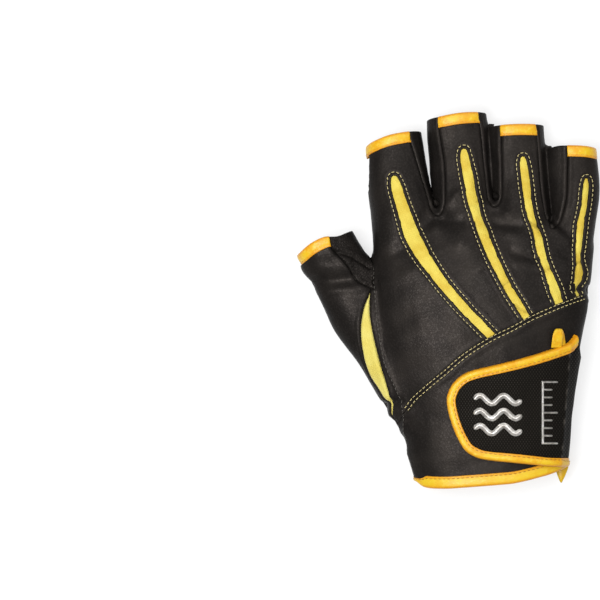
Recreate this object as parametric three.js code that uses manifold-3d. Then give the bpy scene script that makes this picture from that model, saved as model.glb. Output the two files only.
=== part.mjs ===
// A right-hand fingerless fishing glove that lies on its palm: the back of the hand faces up, the fingers
// point along +Y, the thumb lies at -X, and the palm is flattened on the plane z = 0. Millimetres.
//
// The glove is drawn as one hollow skin over a hand-shaped form. Thin knives follow the seams and cut that
// skin into the leather and cloth pieces that it is sewn from. What is sewn on, such as the bindings, the
// wrist strap and its ornaments, is a layer between two grown copies of the same form.

import * as THREE from "three";
import { mergeVertices } from "three/addons/utils/BufferGeometryUtils.js";
import Module from "manifold-3d";

const wasm = await Module();
wasm.setup();

// Driving dimensions
const WALL = 1.8; // leather with its thin backing
const SEAM = 0.3; // slit between two sewn pieces
const SIDE_SEAM_Z = 6.5; // height of the seam between back and palm
const STRIPE_SINK = 0.5; // how far the yellow stretch cloth lies below the leather
const STRIPE_FROM = 12.5; // the stripes are let into the upper half only, above this height
const BELLY = 1.6; // how far the soft underside is pressed flat by the table
const CROWN_POWER = 2.35; // roundness of the upper half of a section, 2 is an ellipse
const HAND_BELLY = 4.6; // roundness of the lower half of the hand, which is pressed flat
const FINGER_BELLY = 3; // roundness of the lower half of a finger
const END_LEAN = 0.35; // the finger ends are cut back towards the palm by this slope
const WEB_LEAN = -0.4; // the crotches reach forward towards the palm by this slope
const WEB_PIVOT = 12; // height at which the web line is drawn
const STEP = 5; // length of the straight pieces that a seam is cut with
const TRIM_WIDTH = 4.9; // yellow binding at a finger end
const TRIM_SWELL = 0.45; // how far a binding stands proud of the leather
const CUFF_WIDTH = 5.2; // yellow binding round the wrist
const STRAP_BASE = 1.1; // clearance of the strap over the leather
const STRAP_THICK = 1.7;
const PIPING_WIDTH = 4.1; // yellow binding round the strap
const PIPING_SWELL = 0.5;
const ORNAMENT_THICK = 0.9;
const CLEAR = 0.3; // gap between two parts that touch

// Heights of the half spaces and knives
const FAR = 120;
const TOP = 60;
const BOTTOM = -20;

// Sections of the hand, from the wrist to the knuckles: left and right edge, height of the crown, and
// height at which the section is widest
const PALM = [
  { y: -92, left: -28.0, right: 35.6, crown: 26.5, equator: 12.5 },
  { y: -78, left: -29.4, right: 37.2, crown: 27.5, equator: 12.8 },
  { y: -62, left: -31.6, right: 38.5, crown: 29.0, equator: 13.2 },
  { y: -48, left: -34.6, right: 39.4, crown: 30.2, equator: 13.6 },
  { y: -34, left: -39.6, right: 40.8, crown: 31.4, equator: 14.0 },
  { y: -20, left: -44.6, right: 43.2, crown: 32.4, equator: 14.2 },
  { y: -5, left: -47.2, right: 46.4, crown: 32.8, equator: 14.2 },
  { y: 10, left: -47.4, right: 48.4, crown: 32.4, equator: 13.8 },
  { y: 22, left: -46.9, right: 49.3, crown: 30.0, equator: 13.0 },
  { y: 34, left: -47.2, right: 50.2, crown: 25.5, equator: 12.0 },
  { y: 46, left: -48.2, right: 51.4, crown: 20.5, equator: 11.0 },
];

// Sections of each finger, from inside the hand to past its open end
const FINGERS = {
  index: [
    { y: 12, left: -46.8, right: -22, crown: 25.5, equator: 12.6 },
    { y: 26, left: -47, right: -20.6, crown: 26.0, equator: 12.2 },
    { y: 38, left: -48.0, right: -19.5, crown: 25.6, equator: 11.4 },
    { y: 52, left: -49.4, right: -22.4, crown: 23.0, equator: 10.6 },
    { y: 62, left: -49.8, right: -24.0, crown: 21.4, equator: 10.0 },
    { y: 71, left: -49.7, right: -25.6, crown: 20.6, equator: 9.7 },
    { y: 82, left: -49.6, right: -27.6, crown: 20.2, equator: 9.6 },
  ],
  middle: [
    { y: 12, left: -16.5, right: 4.2, crown: 29.5, equator: 13.4 },
    { y: 26, left: -17.6, right: 5, crown: 29.2, equator: 12.6 },
    { y: 38, left: -18.4, right: 5.8, crown: 27.0, equator: 11.6 },
    { y: 52, left: -21.4, right: 4.8, crown: 23.8, equator: 10.7 },
    { y: 62, left: -22.3, right: 4.1, crown: 22.2, equator: 10.2 },
    { y: 74, left: -23.2, right: 3.2, crown: 21.0, equator: 9.8 },
    { y: 92, left: -23.2, right: 1.0, crown: 20.4, equator: 9.6 },
  ],
  ring: [
    { y: 12, left: 9, right: 29.6, crown: 28.4, equator: 13.2 },
    { y: 26, left: 7.8, right: 30.6, crown: 27.8, equator: 12.4 },
    { y: 38, left: 6.8, right: 31.0, crown: 25.8, equator: 11.4 },
    { y: 52, left: 5.8, right: 29.4, crown: 22.8, equator: 10.5 },
    { y: 62, left: 5.0, right: 28.8, crown: 21.4, equator: 10.0 },
    { y: 74, left: 4.4, right: 28.1, crown: 20.4, equator: 9.6 },
    { y: 88, left: 4.8, right: 27.0, crown: 20.0, equator: 9.5 },
  ],
  little: [
    { y: 8, left: 34, right: 47.4, crown: 21, equator: 11.8 },
    { y: 22, left: 33.4, right: 49.1, crown: 22.6, equator: 11.4 },
    { y: 34, left: 32.2, right: 50.7, crown: 22.4, equator: 10.8 },
    { y: 44, left: 31.3, right: 52.2, crown: 21.2, equator: 10.2 },
    { y: 54, left: 30.4, right: 52.3, crown: 20.0, equator: 9.6 },
    { y: 66, left: 29.7, right: 50.6, crown: 19.0, equator: 9.2 },
    { y: 78, left: 29.6, right: 49.4, crown: 18.6, equator: 9.0 },
  ],
};

// The thumb has its own frame: it starts inside the heel of the hand and leans to the left
const THUMB_ROOT = { x: -22, y: -62 };
const THUMB_LEAN = THREE.MathUtils.degToRad(29);
const THUMB = [
  { y: -6, left: -7.0, right: 12.0, crown: 21.0, equator: 11.0 },
  { y: 8, left: -9.0, right: 14.0, crown: 23.0, equator: 11.0 },
  { y: 26, left: -10.0, right: 17.0, crown: 24.0, equator: 10.8 },
  { y: 45, left: -11.0, right: 19.5, crown: 23.6, equator: 10.6 },
  { y: 62, left: -12.9, right: 18.6, crown: 22.6, equator: 10.4 },
  { y: 76, left: -12.3, right: 16.2, crown: 21.8, equator: 10.2 },
  { y: 90, left: -11.6, right: 15.2, crown: 21.2, equator: 10.0 },
  { y: 112, left: -10.8, right: 14.6, crown: 21.0, equator: 10.0 },
];

// The hand ends in this line, which reaches up into the three crotches between the fingers
const WEB_LINE = [
  [-70, 14], [-46, 18], [-36, 34], [-26, 41], [-18.9, 42.2], [-12, 42.6], [0, 44.6], [6.4, 45.2],
  [13, 43.6], [24, 39.5], [32.4, 36.4], [38, 30], [45, 12], [70, 6],
];

// Open ends, as curves on the back of the glove: finger ends from left to right, thumb end in its own
// frame, and the wrist
const FINGER_ENDS = {
  index: [[-54, 62.5], [-50.3, 66.5], [-47.6, 70.4], [-41.4, 72.7], [-36, 73.6], [-29, 74.4], [-22.6, 74.6]],
  middle: [[-26.5, 77.6], [-23, 79.6], [-18.4, 80.6], [-9, 82.3], [-1, 82.8], [4.1, 82.6]],
  ring: [[3.7, 76.4], [8, 76.9], [16, 77.4], [24, 77.4], [29, 77.2]],
  little: [[28.6, 66.2], [33.6, 67.8], [39, 68], [46, 67.6], [50.2, 66.8], [54, 64.6]],
};
const THUMB_END = [[-14, 99.4], [-10.5, 100.2], [-4, 101.4], [2.7, 101], [8, 98.6], [13, 98], [19, 97.6]];
const CUFF_END = [
  [-40, -76], [-29.6, -78.6], [-24.5, -82.4], [-7, -82.5], [9, -81.4], [16, -80.4], [25.5, -78.1],
  [33.4, -75.7], [42, -71.5], [50, -67],
];

// Seams between the back and the pieces between the fingers, each a narrow U
const GUSSET_SEAMS = {
  gusset_index_middle: {
    left: [[-31.6, 90], [-31.2, 73], [-30.2, 68.6], [-27, 59], [-23.4, 47], [-21.8, 41]],
    bottom: [[-20.4, 38.4], [-18.9, 37.6], [-17.2, 38.4]],
    right: [[-15.8, 42], [-15.6, 47], [-15.8, 59], [-17.4, 70], [-18.2, 76], [-18.4, 90]],
  },
  gusset_middle_ring: {
    left: [[-1.4, 90], [-0.9, 80], [-0.1, 77.3], [1.6, 64.5], [3.1, 49.5], [3.6, 45]],
    bottom: [[4.6, 42], [6.3, 41], [8.2, 42]],
    right: [[9.2, 45], [9.4, 50], [9.3, 61], [9.2, 72], [9.1, 77], [9, 90]],
  },
  gusset_ring_little: {
    left: [[24, 90], [24.3, 77], [25.2, 72], [26.8, 52], [28.6, 38.7], [29.8, 34.6]],
    bottom: [[31, 32.4], [32.4, 31.6], [33.9, 32.8]],
    right: [[35.7, 36.5], [37.6, 43], [38.2, 48], [38.6, 62.5], [38.4, 68], [38.4, 90]],
  },
};

// Yellow stretch stripes on the back, row by row from the knuckle to the diagonal seam
const STRIPES = {
  stripe_index: [
    { x: -36.8, y: 53.6, half: 1.5 }, { x: -36.5, y: 51, half: 2.2 }, { x: -35.4, y: 46, half: 2.4 },
    { x: -33.4, y: 38, half: 2.8 }, { x: -30.8, y: 30, half: 3.2 }, { x: -27.4, y: 21.5, half: 3.2 },
    { x: -22, y: 12.2, half: 2.7 }, { x: -14.6, y: 2.2, half: 2.3 }, { x: -6.2, y: -6.8, half: 2.1 },
    { x: 3, y: -15.6, half: 2.0 },
  ],
  stripe_middle: [
    { x: -7.2, y: 65.8, half: 1.3 }, { x: -7, y: 63.4, half: 1.9 }, { x: -5.8, y: 57, half: 2.1 },
    { x: -4.2, y: 48, half: 2.3 }, { x: -2, y: 38.5, half: 1.9 }, { x: 1.2, y: 30, half: 2.2 },
    { x: 4.8, y: 21, half: 2.0 }, { x: 9.8, y: 10, half: 1.9 }, { x: 15.4, y: 0.2, half: 1.7 },
    { x: 20, y: -7.2, half: 1.7 },
  ],
  stripe_ring: [
    { x: 19, y: 62.8, half: 1.1 }, { x: 19.2, y: 60.6, half: 1.6 }, { x: 20, y: 53, half: 1.7 },
    { x: 21, y: 43.6, half: 1.8 }, { x: 23.2, y: 33.6, half: 1.4 }, { x: 24.8, y: 27, half: 1.7 },
    { x: 27.4, y: 18.4, half: 1.6 }, { x: 30.4, y: 10, half: 1.8 }, { x: 34.2, y: -1, half: 1.9 },
  ],
  stripe_little: [
    { x: 46.7, y: 53.2, half: 0.9 }, { x: 46.6, y: 51, half: 1.2 }, { x: 46, y: 42.5, half: 1.2 },
    { x: 44.6, y: 35, half: 1.5 }, { x: 43.8, y: 27, half: 1.3 }, { x: 43.4, y: 18, half: 1.1 },
    { x: 43.2, y: 11.4, half: 1.8 }, { x: 42.6, y: 4.4, half: 1.1 },
  ],
};

// The double-stitched seam across the back, and the line where the thumb joins the hand
const DIAGONAL_SEAM = [
  [-36, -54], [-33, -49], [-29, -43.6], [-22, -37.4], [-14.5, -31.2], [-8, -25.5], [-1, -20.7],
  [6.6, -16.3], [14, -12.8], [22, -8.4], [30, -4.8], [37.4, -1.8], [46.2, 1.3], [56, 3.6],
];
const THUMB_SEAM = [
  [-50.4, 44], [-49.4, 26], [-47.8, 17.4], [-46.9, 13], [-47.2, 8], [-48.2, 2], [-48.6, -5], [-48.2, -12],
  [-46.2, -20.4], [-43.4, -30], [-41, -38], [-38.9, -45], [-36.4, -52], [-34, -60], [-33, -70],
];
// Yellow crescent beside the thumb seam: its outer edge
const CRESCENT_EDGE = [
  [-47.6, 2.4], [-50.4, -4.4], [-52.2, -11], [-52.4, -18], [-51, -25], [-48.6, -31.6], [-46.2, -37],
  [-42.6, -42.8], [-36.4, -49.4],
];
// The inner side of the thumb belongs to the palm piece: its seam on the back runs to the crotch
const THUMB_INNER_SEAM = [
  [-67.4, 34], [-65.6, 23.6], [-63.7, 21], [-58.7, 15.3], [-56, 11], [-53.6, 8.2], [-50.4, 6.4], [-46.4, 4.6],
];

// Seams on the palm, seen through the glove from above
const FINGER_FRONT_SEAM = [
  [-60, 42.6], [-47.4, 40], [-36.6, 36.2], [-23, 34.6], [-10, 31.6], [5, 29.6], [24, 29], [46, 29.6], [60, 30.6],
];
const PATCH_EDGE = [
  [-60, 19.4], [-47, 18.6], [-36, 18.2], [-27, 17.2], [-19.8, 15], [-11.2, 10.5], [-5, 4.4], [1, -7.8],
  [2.8, -16.5], [6.3, -26], [11.5, -31.3], [17.6, -34.8], [27.2, -37], [40, -38.2], [60, -39],
];
const THUMB_ARC = [
  [-54, 21], [-47.6, 15.6], [-38, 14.2], [-29, 13.4], [-20.4, 11.6], [-15.6, 7.4], [-10.6, -1.2], [-7, -11.4],
  [-5.8, -20.8], [-6.6, -31], [-9.8, -44.4], [-16.8, -53.8], [-24.6, -58.4], [-32, -59.6], [-44, -60],
];
// Wrist strap, from its sewn end at the little-finger side round its rounded free end
const STRAP_EDGE = [
  [60, -8.6], [44.4, -14.2], [38.4, -18.4], [28.6, -22.5], [18.4, -25], [8.3, -27.8], [-1.8, -30.6],
  [-7.4, -32.8], [-11.6, -36.2], [-14, -40.2], [-14.9, -44.2], [-14, -50.2], [-11.9, -56.8], [-9.3, -62.4],
  [-6.2, -66.9], [-1.6, -69.9], [3.4, -71.2], [13.4, -72], [23.5, -73], [34, -73.6], [60, -73.8],
];

// Ornaments on the strap: three raised waves and a short ruler
const WAVES = { x: 7.8, y: -50.4, length: 21, pitch: 6.6, count: 3, half: 1.55, height: 1.9 };
const RULER = { x: 31.2, y: -49.6, length: 27, ticks: 8, long: 6.2, short: 3.8, tick: 0.9, spine: 1.1 };

// Ribbon loop beside the strap's upper edge, and the folded corner below the strap's lower end
const PULL_LOOP = { x: 34.4, y: -18.3, width: 5.8, reach: 4.9, thick: 0.8, opening: 0.9, low: 28, tilt: 0.42 };
const CORNER_TAB = { outline: [[32.2, -76.7], [35.6, -80.8], [38.4, -77], [38.9, -74.2]], low: 9, thick: 1.4 };

const COLOURS = {
  leather: { color: 0x35312e, roughness: 0.6, metalness: 0 },
  palmLeather: { color: 0x322e2b, roughness: 0.7, metalness: 0 },
  grip: { color: 0x2c2927, roughness: 0.8, metalness: 0 },
  stretch: { color: 0xecd95c, roughness: 0.9, metalness: 0 },
  binding: { color: 0xfbb632, roughness: 0.5, metalness: 0 },
  strapCloth: { color: 0x1c1b19, roughness: 0.65, metalness: 0 },
  silver: { color: 0xb9b4ac, roughness: 0.35, metalness: 0.9 },
};

/** Value of one column of a table of sections at y, on a smooth curve through its rows. */
function column(rows, key, y) {
  let i = 0;
  while (i < rows.length - 2 && y > rows[i + 1].y) i++;
  const slope = (a, b) => (rows[b][key] - rows[a][key]) / (rows[b].y - rows[a].y);
  const before = slope(Math.max(i - 1, 0), i + 1);
  const after = slope(i, Math.min(i + 2, rows.length - 1));
  const span = rows[i + 1].y - rows[i].y;
  const t = THREE.MathUtils.clamp((y - rows[i].y) / span, 0, 1);
  const t2 = t * t;
  const t3 = t2 * t;
  return (
    (2 * t3 - 3 * t2 + 1) * rows[i][key] + (t3 - 2 * t2 + t) * span * before +
    (3 * t2 - 2 * t3) * rows[i + 1][key] + (t3 - t2) * span * after
  );
}

/** A closed mesh as a solid that can be cut and joined. */
function solid(geometry) {
  const bare = geometry.clone();
  bare.deleteAttribute("normal");
  bare.deleteAttribute("uv");
  const merged = mergeVertices(bare, 1e-4);
  return new wasm.Manifold(
    new wasm.Mesh({
      numProp: 3,
      vertProperties: new Float32Array(merged.attributes.position.array),
      triVerts: new Uint32Array(merged.index.array),
    }),
  );
}

/** A solid as a three.js geometry. */
function geometryOf(body) {
  const mesh = body.getMesh();
  const geometry = new THREE.BufferGeometry();
  geometry.setAttribute("position", new THREE.BufferAttribute(new Float32Array(mesh.vertProperties), 3));
  geometry.setIndex(new THREE.BufferAttribute(new Uint32Array(mesh.triVerts), 1));
  geometry.computeVertexNormals();
  return geometry;
}

/** A tube through sections in planes across y. It is grown by `grow` all round. */
function loft(rows, grow, rings, sides, belly) {
  const from = rows[0].y;
  const to = rows[rows.length - 1].y;
  const points = [];
  for (let r = 0; r <= rings; r++) {
    const y = from + ((to - from) * r) / rings;
    const [left, right, crown, equator] = ["left", "right", "crown", "equator"].map((k) => column(rows, k, y));
    for (let s = 0; s < sides; s++) {
      const turn = (2 * Math.PI * s) / sides;
      const up = Math.sin(turn) >= 0;
      const power = 2 / (up ? CROWN_POWER : belly);
      const reach = (up ? crown - equator : equator + BELLY) + grow;
      const across = Math.sign(Math.cos(turn)) * Math.abs(Math.cos(turn)) ** power;
      const above = Math.sign(Math.sin(turn)) * Math.abs(Math.sin(turn)) ** power;
      points.push((left + right) / 2 + ((right - left) / 2 + grow) * across, y, equator + reach * above);
    }
  }
  const caps = [from, to].map((y) => [
    (column(rows, "left", y) + column(rows, "right", y)) / 2, y, column(rows, "equator", y),
  ]);
  points.push(...caps[0], ...caps[1]);
  const first = (rings + 1) * sides;
  const faces = [];
  for (let s = 0; s < sides; s++) {
    const n = (s + 1) % sides;
    for (let r = 0; r < rings; r++) {
      const a = r * sides;
      const b = a + sides;
      faces.push(a + s, b + s, a + n, a + n, b + s, b + n);
    }
    faces.push(first, s, n, first + 1, rings * sides + n, rings * sides + s);
  }
  const geometry = new THREE.BufferGeometry();
  geometry.setAttribute("position", new THREE.Float32BufferAttribute(points, 3));
  geometry.setIndex(faces);
  return geometry;
}

/** Turns and moves a geometry from the thumb's frame into the glove's. */
function fromThumbFrame(geometry) {
  return geometry.rotateZ(THUMB_LEAN).translate(THUMB_ROOT.x, THUMB_ROOT.y, 0);
}

/** Points [x, y] on a smooth curve through the given ones, about `step` apart. */
function curve(points, step = STEP) {
  const spline = new THREE.SplineCurve(points.map(([x, y]) => new THREE.Vector2(x, y)));
  return spline.getSpacedPoints(Math.max(3, Math.round(spline.getLength() / step)));
}

/** An outline in the plane of the table, raised from z = low to z = high. */
function prismGeometry(outline, low = BOTTOM, high = TOP) {
  const shape = new THREE.Shape(outline.map((p) => new THREE.Vector2(p.x ?? p[0], p.y ?? p[1])));
  return new THREE.ExtrudeGeometry(shape, { depth: high - low, bevelEnabled: false }).translate(0, 0, low);
}

const prism = (outline, low, high) => solid(prismGeometry(outline, low, high));

/** The line moved sideways, to the left of its direction where `by` is positive. */
function beside(line, by) {
  return line.map((p, i) => {
    const a = line[Math.max(i - 1, 0)];
    const b = line[Math.min(i + 1, line.length - 1)];
    const along = new THREE.Vector2(b.x - a.x, b.y - a.y).normalize();
    return new THREE.Vector2(p.x - along.y * by, p.y + along.x * by);
  });
}

/** A thin upright wall along an open line: it cuts a seam into the skin. */
function knife(line, low, high) {
  return prism([...beside(line, SEAM / 2), ...beside(line, -SEAM / 2).reverse()], low, high);
}

/** What lies beyond a line that runs from left to right, as far as `height`. */
function beyond(line, height) {
  return [...line, new THREE.Vector2(line.at(-1).x, height), new THREE.Vector2(line[0].x, height)];
}

const union = (parts) => parts.reduce((a, b) => a.add(b));

/** Leans a prism along y: what it cuts gets shorter below the pivot height where the slope is positive. */
function lean(geometry, slope, pivot) {
  const place = geometry.attributes.position;
  for (let i = 0; i < place.count; i++) {
    place.setY(i, place.getY(i) - slope * (pivot - place.getZ(i)));
  }
  return geometry;
}

/** The hand-shaped form, grown by `grow`, above the plane at z = floor. */
function form(grow, floor) {
  const web = curve(WEB_LINE, 6).map((p) => new THREE.Vector2(p.x, p.y + grow));
  const pastWeb = solid(lean(prismGeometry(beyond(web, FAR)), WEB_LEAN, WEB_PIVOT));
  const hand = solid(loft(PALM, grow, 11, 24, HAND_BELLY)).subtract(pastWeb);
  const fingers = Object.values(FINGERS).map((rows) => solid(loft(rows, grow, 5, 14, FINGER_BELLY)));
  const thumb = solid(fromThumbFrame(loft(THUMB, grow, 7, 16, FINGER_BELLY)));
  return union([hand, ...fingers, thumb]).intersect(prism(rectangle(-FAR, -FAR, FAR, FAR), floor, TOP));
}

/** Corners of an upright rectangle. */
function rectangle(left, low, right, high) {
  return [[left, low], [right, low], [right, high], [left, high]];
}

/** Everything past the open ends, moved inwards by `inset`. */
function pastEnds(inset) {
  const ends = Object.entries(FINGER_ENDS).map(([name, line]) => {
    const shifted = curve(line).map((p) => new THREE.Vector2(p.x, p.y - inset));
    const top = FINGERS[name].at(-2).crown;
    return solid(lean(prismGeometry(beyond(shifted, FAR)), END_LEAN, top));
  });
  const thumbLine = curve(THUMB_END).map((p) => new THREE.Vector2(p.x, p.y - inset));
  const thumbPrism = lean(prismGeometry(beyond(thumbLine, FAR)), END_LEAN, THUMB.at(-1).crown);
  const thumbEnd = solid(fromThumbFrame(thumbPrism));
  return { fingers: union(ends), thumb: thumbEnd };
}

/** What lies past the wrist, moved inwards by `inset`. */
function pastWrist(inset) {
  const line = curve(CUFF_END).map((p) => new THREE.Vector2(p.x, p.y + inset));
  return prism(beyond(line, -FAR).reverse());
}

/** Outline of a stripe, wider by `grow`, with a rounded upper end. */
function stripeOutline(rows, grow) {
  const middle = curve(rows.map((r) => [r.x, r.y]), 6.5);
  const table = rows.map((r) => ({ y: -r.y, half: r.half }));
  const side = (sign) =>
    middle.map((p, i) => beside(middle, sign * (column(table, "half", -p.y) + grow))[i]);
  const tip = new THREE.Vector2(rows[0].x - 0.1, rows[0].y + 1.1 + grow);
  return [...side(1), ...side(-1).reverse(), tip];
}

/** The one piece of a cut skin that a thin rod at (x, y) meets between two heights. */
function pieceAt(bodies, x, y, low, high) {
  const rod = prism(rectangle(x - 0.2, y - 0.2, x + 0.2, y + 0.2), low, high);
  return bodies.find((body) => body.intersect(rod).volume() > 0);
}

const outer = form(0, 0);
const inner = form(-WALL, WALL);
const skin = outer.subtract(inner);

// Bands at the open ends
const atEnd = pastEnds(0);
const atTrim = pastEnds(TRIM_WIDTH);
const atTrimSlit = pastEnds(TRIM_WIDTH + SEAM);
const swollen = form(TRIM_SWELL, 0).subtract(inner);
const above = (z) => prism(rectangle(-FAR, -FAR, FAR, FAR), z, TOP);

/** U-shaped line of the seam round the gap between two fingers. */
function gussetLine(seam) {
  return curve([...seam.left, ...seam.bottom, ...seam.right], 4.6);
}

const gussetLines = Object.values(GUSSET_SEAMS).map(gussetLine);
const gussetAreas = gussetLines.map((line) => prism(line));
const gussetAreasWide = gussetLines.map((line) =>
  prism([...line.map((p, i) => beside(line, -SEAM)[i])]),
);

// The trims cover the back of each finger and of the thumb, and stop at the gusset seams
const thumbInner = (grow) => {
  const line = curve(THUMB_INNER_SEAM);
  const crease = THUMB_SEAM.slice(0, 5).reverse();
  return prism([...beside(line, -grow), ...crease.map(([x, y]) => [x + grow, y])]);
};
const fingerTrims = swollen
  .intersect(atTrim.fingers)
  .subtract(atEnd.fingers)
  .intersect(above(SIDE_SEAM_Z + SEAM))
  .subtract(union(gussetAreasWide));
const thumbTrim = swollen
  .intersect(atTrim.thumb)
  .subtract(atEnd.thumb)
  .intersect(above(SIDE_SEAM_Z + SEAM))
  .subtract(thumbInner(SEAM));

// The leather skin without those bands
const fingerBand = atTrimSlit.fingers.intersect(above(SIDE_SEAM_Z)).subtract(union(gussetAreas));
const thumbBand = atTrimSlit.thumb.intersect(above(SIDE_SEAM_Z)).subtract(thumbInner(0));
const cuffSlit = pastWrist(CUFF_WIDTH + SEAM);
const leather = skin
  .subtract(atEnd.fingers)
  .subtract(atEnd.thumb)
  .subtract(fingerBand)
  .subtract(thumbBand)
  .subtract(cuffSlit);

const sideSeam = prism(rectangle(-FAR, -FAR, FAR, FAR), SIDE_SEAM_Z - SEAM / 2, SIDE_SEAM_Z + SEAM / 2)
  .subtract(thumbInner(0));

const upperKnives = [
  ...gussetLines.map((line) => knife(line, SIDE_SEAM_Z - SEAM, TOP)),
  ...[DIAGONAL_SEAM, THUMB_SEAM, CRESCENT_EDGE].map((line) => knife(curve(line), SIDE_SEAM_Z - SEAM, TOP)),
  knife(curve(THUMB_INNER_SEAM), SIDE_SEAM_Z - SEAM, TOP),
];
const lowerKnives = [FINGER_FRONT_SEAM, PATCH_EDGE, THUMB_ARC].map((line) =>
  knife(curve(line), BOTTOM, SIDE_SEAM_Z),
);
const stripeSlots = Object.values(STRIPES).map((rows) => prism(stripeOutline(rows, SEAM), STRIPE_FROM, TOP));

const cut = leather.subtract(union([sideSeam, ...upperKnives, ...lowerKnives, ...stripeSlots]));
const pieces = cut.decompose().filter((body) => body.volume() > 5);

// Stretch cloth in the slots of the back, a little lower than the leather
const sunk = form(-STRIPE_SINK, 0).subtract(form(-WALL - 0.2, 0));
const stripes = Object.entries(STRIPES).map(([name, rows]) => {
  return [name, sunk.intersect(prism(stripeOutline(rows, 0), STRIPE_FROM, TOP))];
});

// Bindings at the finger ends and round the wrist
const trims = fingerTrims.decompose().filter((body) => body.volume() > 5);
const cuff = form(TRIM_SWELL, 0).subtract(inner).intersect(pastWrist(CUFF_WIDTH)).subtract(pastWrist(0));

// The strap and its binding
const strapLine = curve(STRAP_EDGE, 4.5);
const strapArea = prism(strapLine, SIDE_SEAM_Z + CLEAR, TOP);
const strapInside = (by) => prism(beside(strapLine, by), SIDE_SEAM_Z + CLEAR, TOP);
const strapUnder = form(STRAP_BASE, 0);
const strapTop = STRAP_BASE + STRAP_THICK;
const strap = form(strapTop, 0).subtract(strapUnder).intersect(strapInside(PIPING_WIDTH + CLEAR));
const piping = form(strapTop + PIPING_SWELL, 0)
  .subtract(form(STRAP_BASE - 0.3, 0))
  .intersect(strapArea)
  .subtract(strapInside(PIPING_WIDTH));

// Ornaments lie on the strap
const ornamentLayer = form(strapTop + CLEAR + ORNAMENT_THICK, 0)
  .subtract(form(strapTop + CLEAR, 0))
  .intersect(above(STRIPE_FROM));
const waves = Array.from({ length: WAVES.count }, (_, i) => {
  const y = WAVES.y + (i - (WAVES.count - 1) / 2) * WAVES.pitch;
  const crest = Array.from({ length: 13 }, (_, k) => {
    const t = k / 12 - 0.5;
    return new THREE.Vector2(WAVES.x + t * WAVES.length, y + WAVES.height * Math.sin(4 * Math.PI * t));
  });
  const outline = [...beside(crest, WAVES.half), ...beside(crest, -WAVES.half).reverse()];
  return [`strap_wave_${i + 1}`, ornamentLayer.intersect(prism(outline))];
});
const rulerParts = Array.from({ length: RULER.ticks + 1 }, (_, i) => {
  const y = RULER.y + (i / RULER.ticks - 0.5) * RULER.length;
  const reach = i % 4 === 0 ? RULER.long : RULER.short;
  return prism(rectangle(RULER.x - RULER.long / 2, y - RULER.tick / 2, RULER.x - RULER.long / 2 + reach, y + RULER.tick / 2));
});
const spineX = RULER.x - RULER.long / 2;
const half = (RULER.length + RULER.tick) / 2;
const spine = prism(rectangle(spineX - RULER.spine, RULER.y - half, spineX + 0.1, RULER.y + half));
const ruler = ornamentLayer.intersect(union([spine, ...rulerParts]));

/** A folded ribbon: it runs out along y, turns over, and comes back below itself. */
function ribbonLoop({ x, y, width, reach, thick, opening, low, tilt }) {
  const r = opening / 2;
  const shape = new THREE.Shape();
  shape.moveTo(0, -r - thick);
  shape.lineTo(reach, -r - thick);
  shape.absarc(reach, 0, r + thick, -Math.PI / 2, Math.PI / 2, false);
  shape.lineTo(0, r + thick);
  shape.lineTo(0, r);
  shape.lineTo(reach, r);
  shape.absarc(reach, 0, r, Math.PI / 2, -Math.PI / 2, true);
  shape.lineTo(0, -r);
  const geometry = new THREE.ExtrudeGeometry(shape, { depth: width, bevelEnabled: false, curveSegments: 6 });
  return geometry
    .translate(0, 0, -width / 2)
    .rotateX(Math.PI / 2)
    .rotateZ(Math.PI / 2)
    .rotateY(tilt)
    .translate(x, y, low + r + thick);
}

const MATERIALS = Object.fromEntries(
  Object.entries(COLOURS).map(([name, look]) => [name, new THREE.MeshStandardMaterial(look)]),
);
const group = new THREE.Group();
group.name = "fishing_glove";

/** Adds one solid to the glove. */
function add(name, body, look) {
  const mesh = new THREE.Mesh(body.isBufferGeometry ? body : geometryOf(body), MATERIALS[look]);
  mesh.name = name;
  group.add(mesh);
}

// One point inside each leather piece tells which it is: x, y and two heights
const LEATHER = {
  back_panel: [0, 20, 20, TOP, "leather"],
  wrist_panel: [-12, -62, 20, TOP, "leather"],
  thumb_back: [-56, -4, 10, TOP, "leather"],
  thumb_gusset: [-50, -16, 8, TOP, "stretch"],
  gusset_index_middle: [-18.9, 40, 8, TOP, "leather"],
  gusset_middle_ring: [6.3, 43, 8, TOP, "leather"],
  gusset_ring_little: [32.4, 34, 8, TOP, "leather"],
  thumb_front: [-36, -10, BOTTOM, 5, "palmLeather"],
  palm_fingers: [10, 33, BOTTOM, 5, "palmLeather"],
  palm_grip: [20, 0, BOTTOM, 5, "grip"],
  palm_heel: [10, -56, BOTTOM, 5, "palmLeather"],
};
for (const [name, [x, y, low, high, look]] of Object.entries(LEATHER)) {
  add(name, pieceAt(pieces, x, y, low, high), look);
}
for (const [name, body] of stripes) add(name, body, "stretch");

const TRIM_AT = { index: -36, middle: -9, ring: 16, little: 44 };
for (const [name, x] of Object.entries(TRIM_AT)) {
  add(`trim_${name}`, trims.find((body) => {
    const box = body.boundingBox();
    return box.min[0] < x && box.max[0] > x;
  }), "binding");
}
add("trim_thumb", thumbTrim, "binding");
add("cuff_binding", cuff, "binding");
add("wrist_strap", strap, "strapCloth");
add("strap_piping", piping, "binding");
add("pull_loop", ribbonLoop(PULL_LOOP), "binding");
add("cuff_corner", prismGeometry(CORNER_TAB.outline, CORNER_TAB.low, CORNER_TAB.low + CORNER_TAB.thick), "binding");
for (const [name, body] of waves) add(name, body, "silver");
add("strap_ruler", ruler, "silver");

export default group;
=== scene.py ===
"""The fishing glove, dressed: leather, cloth, bindings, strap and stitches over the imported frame."""
import logging
import math
from collections.abc import Callable, Sequence
from dataclasses import dataclass, field
from enum import Enum

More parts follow.
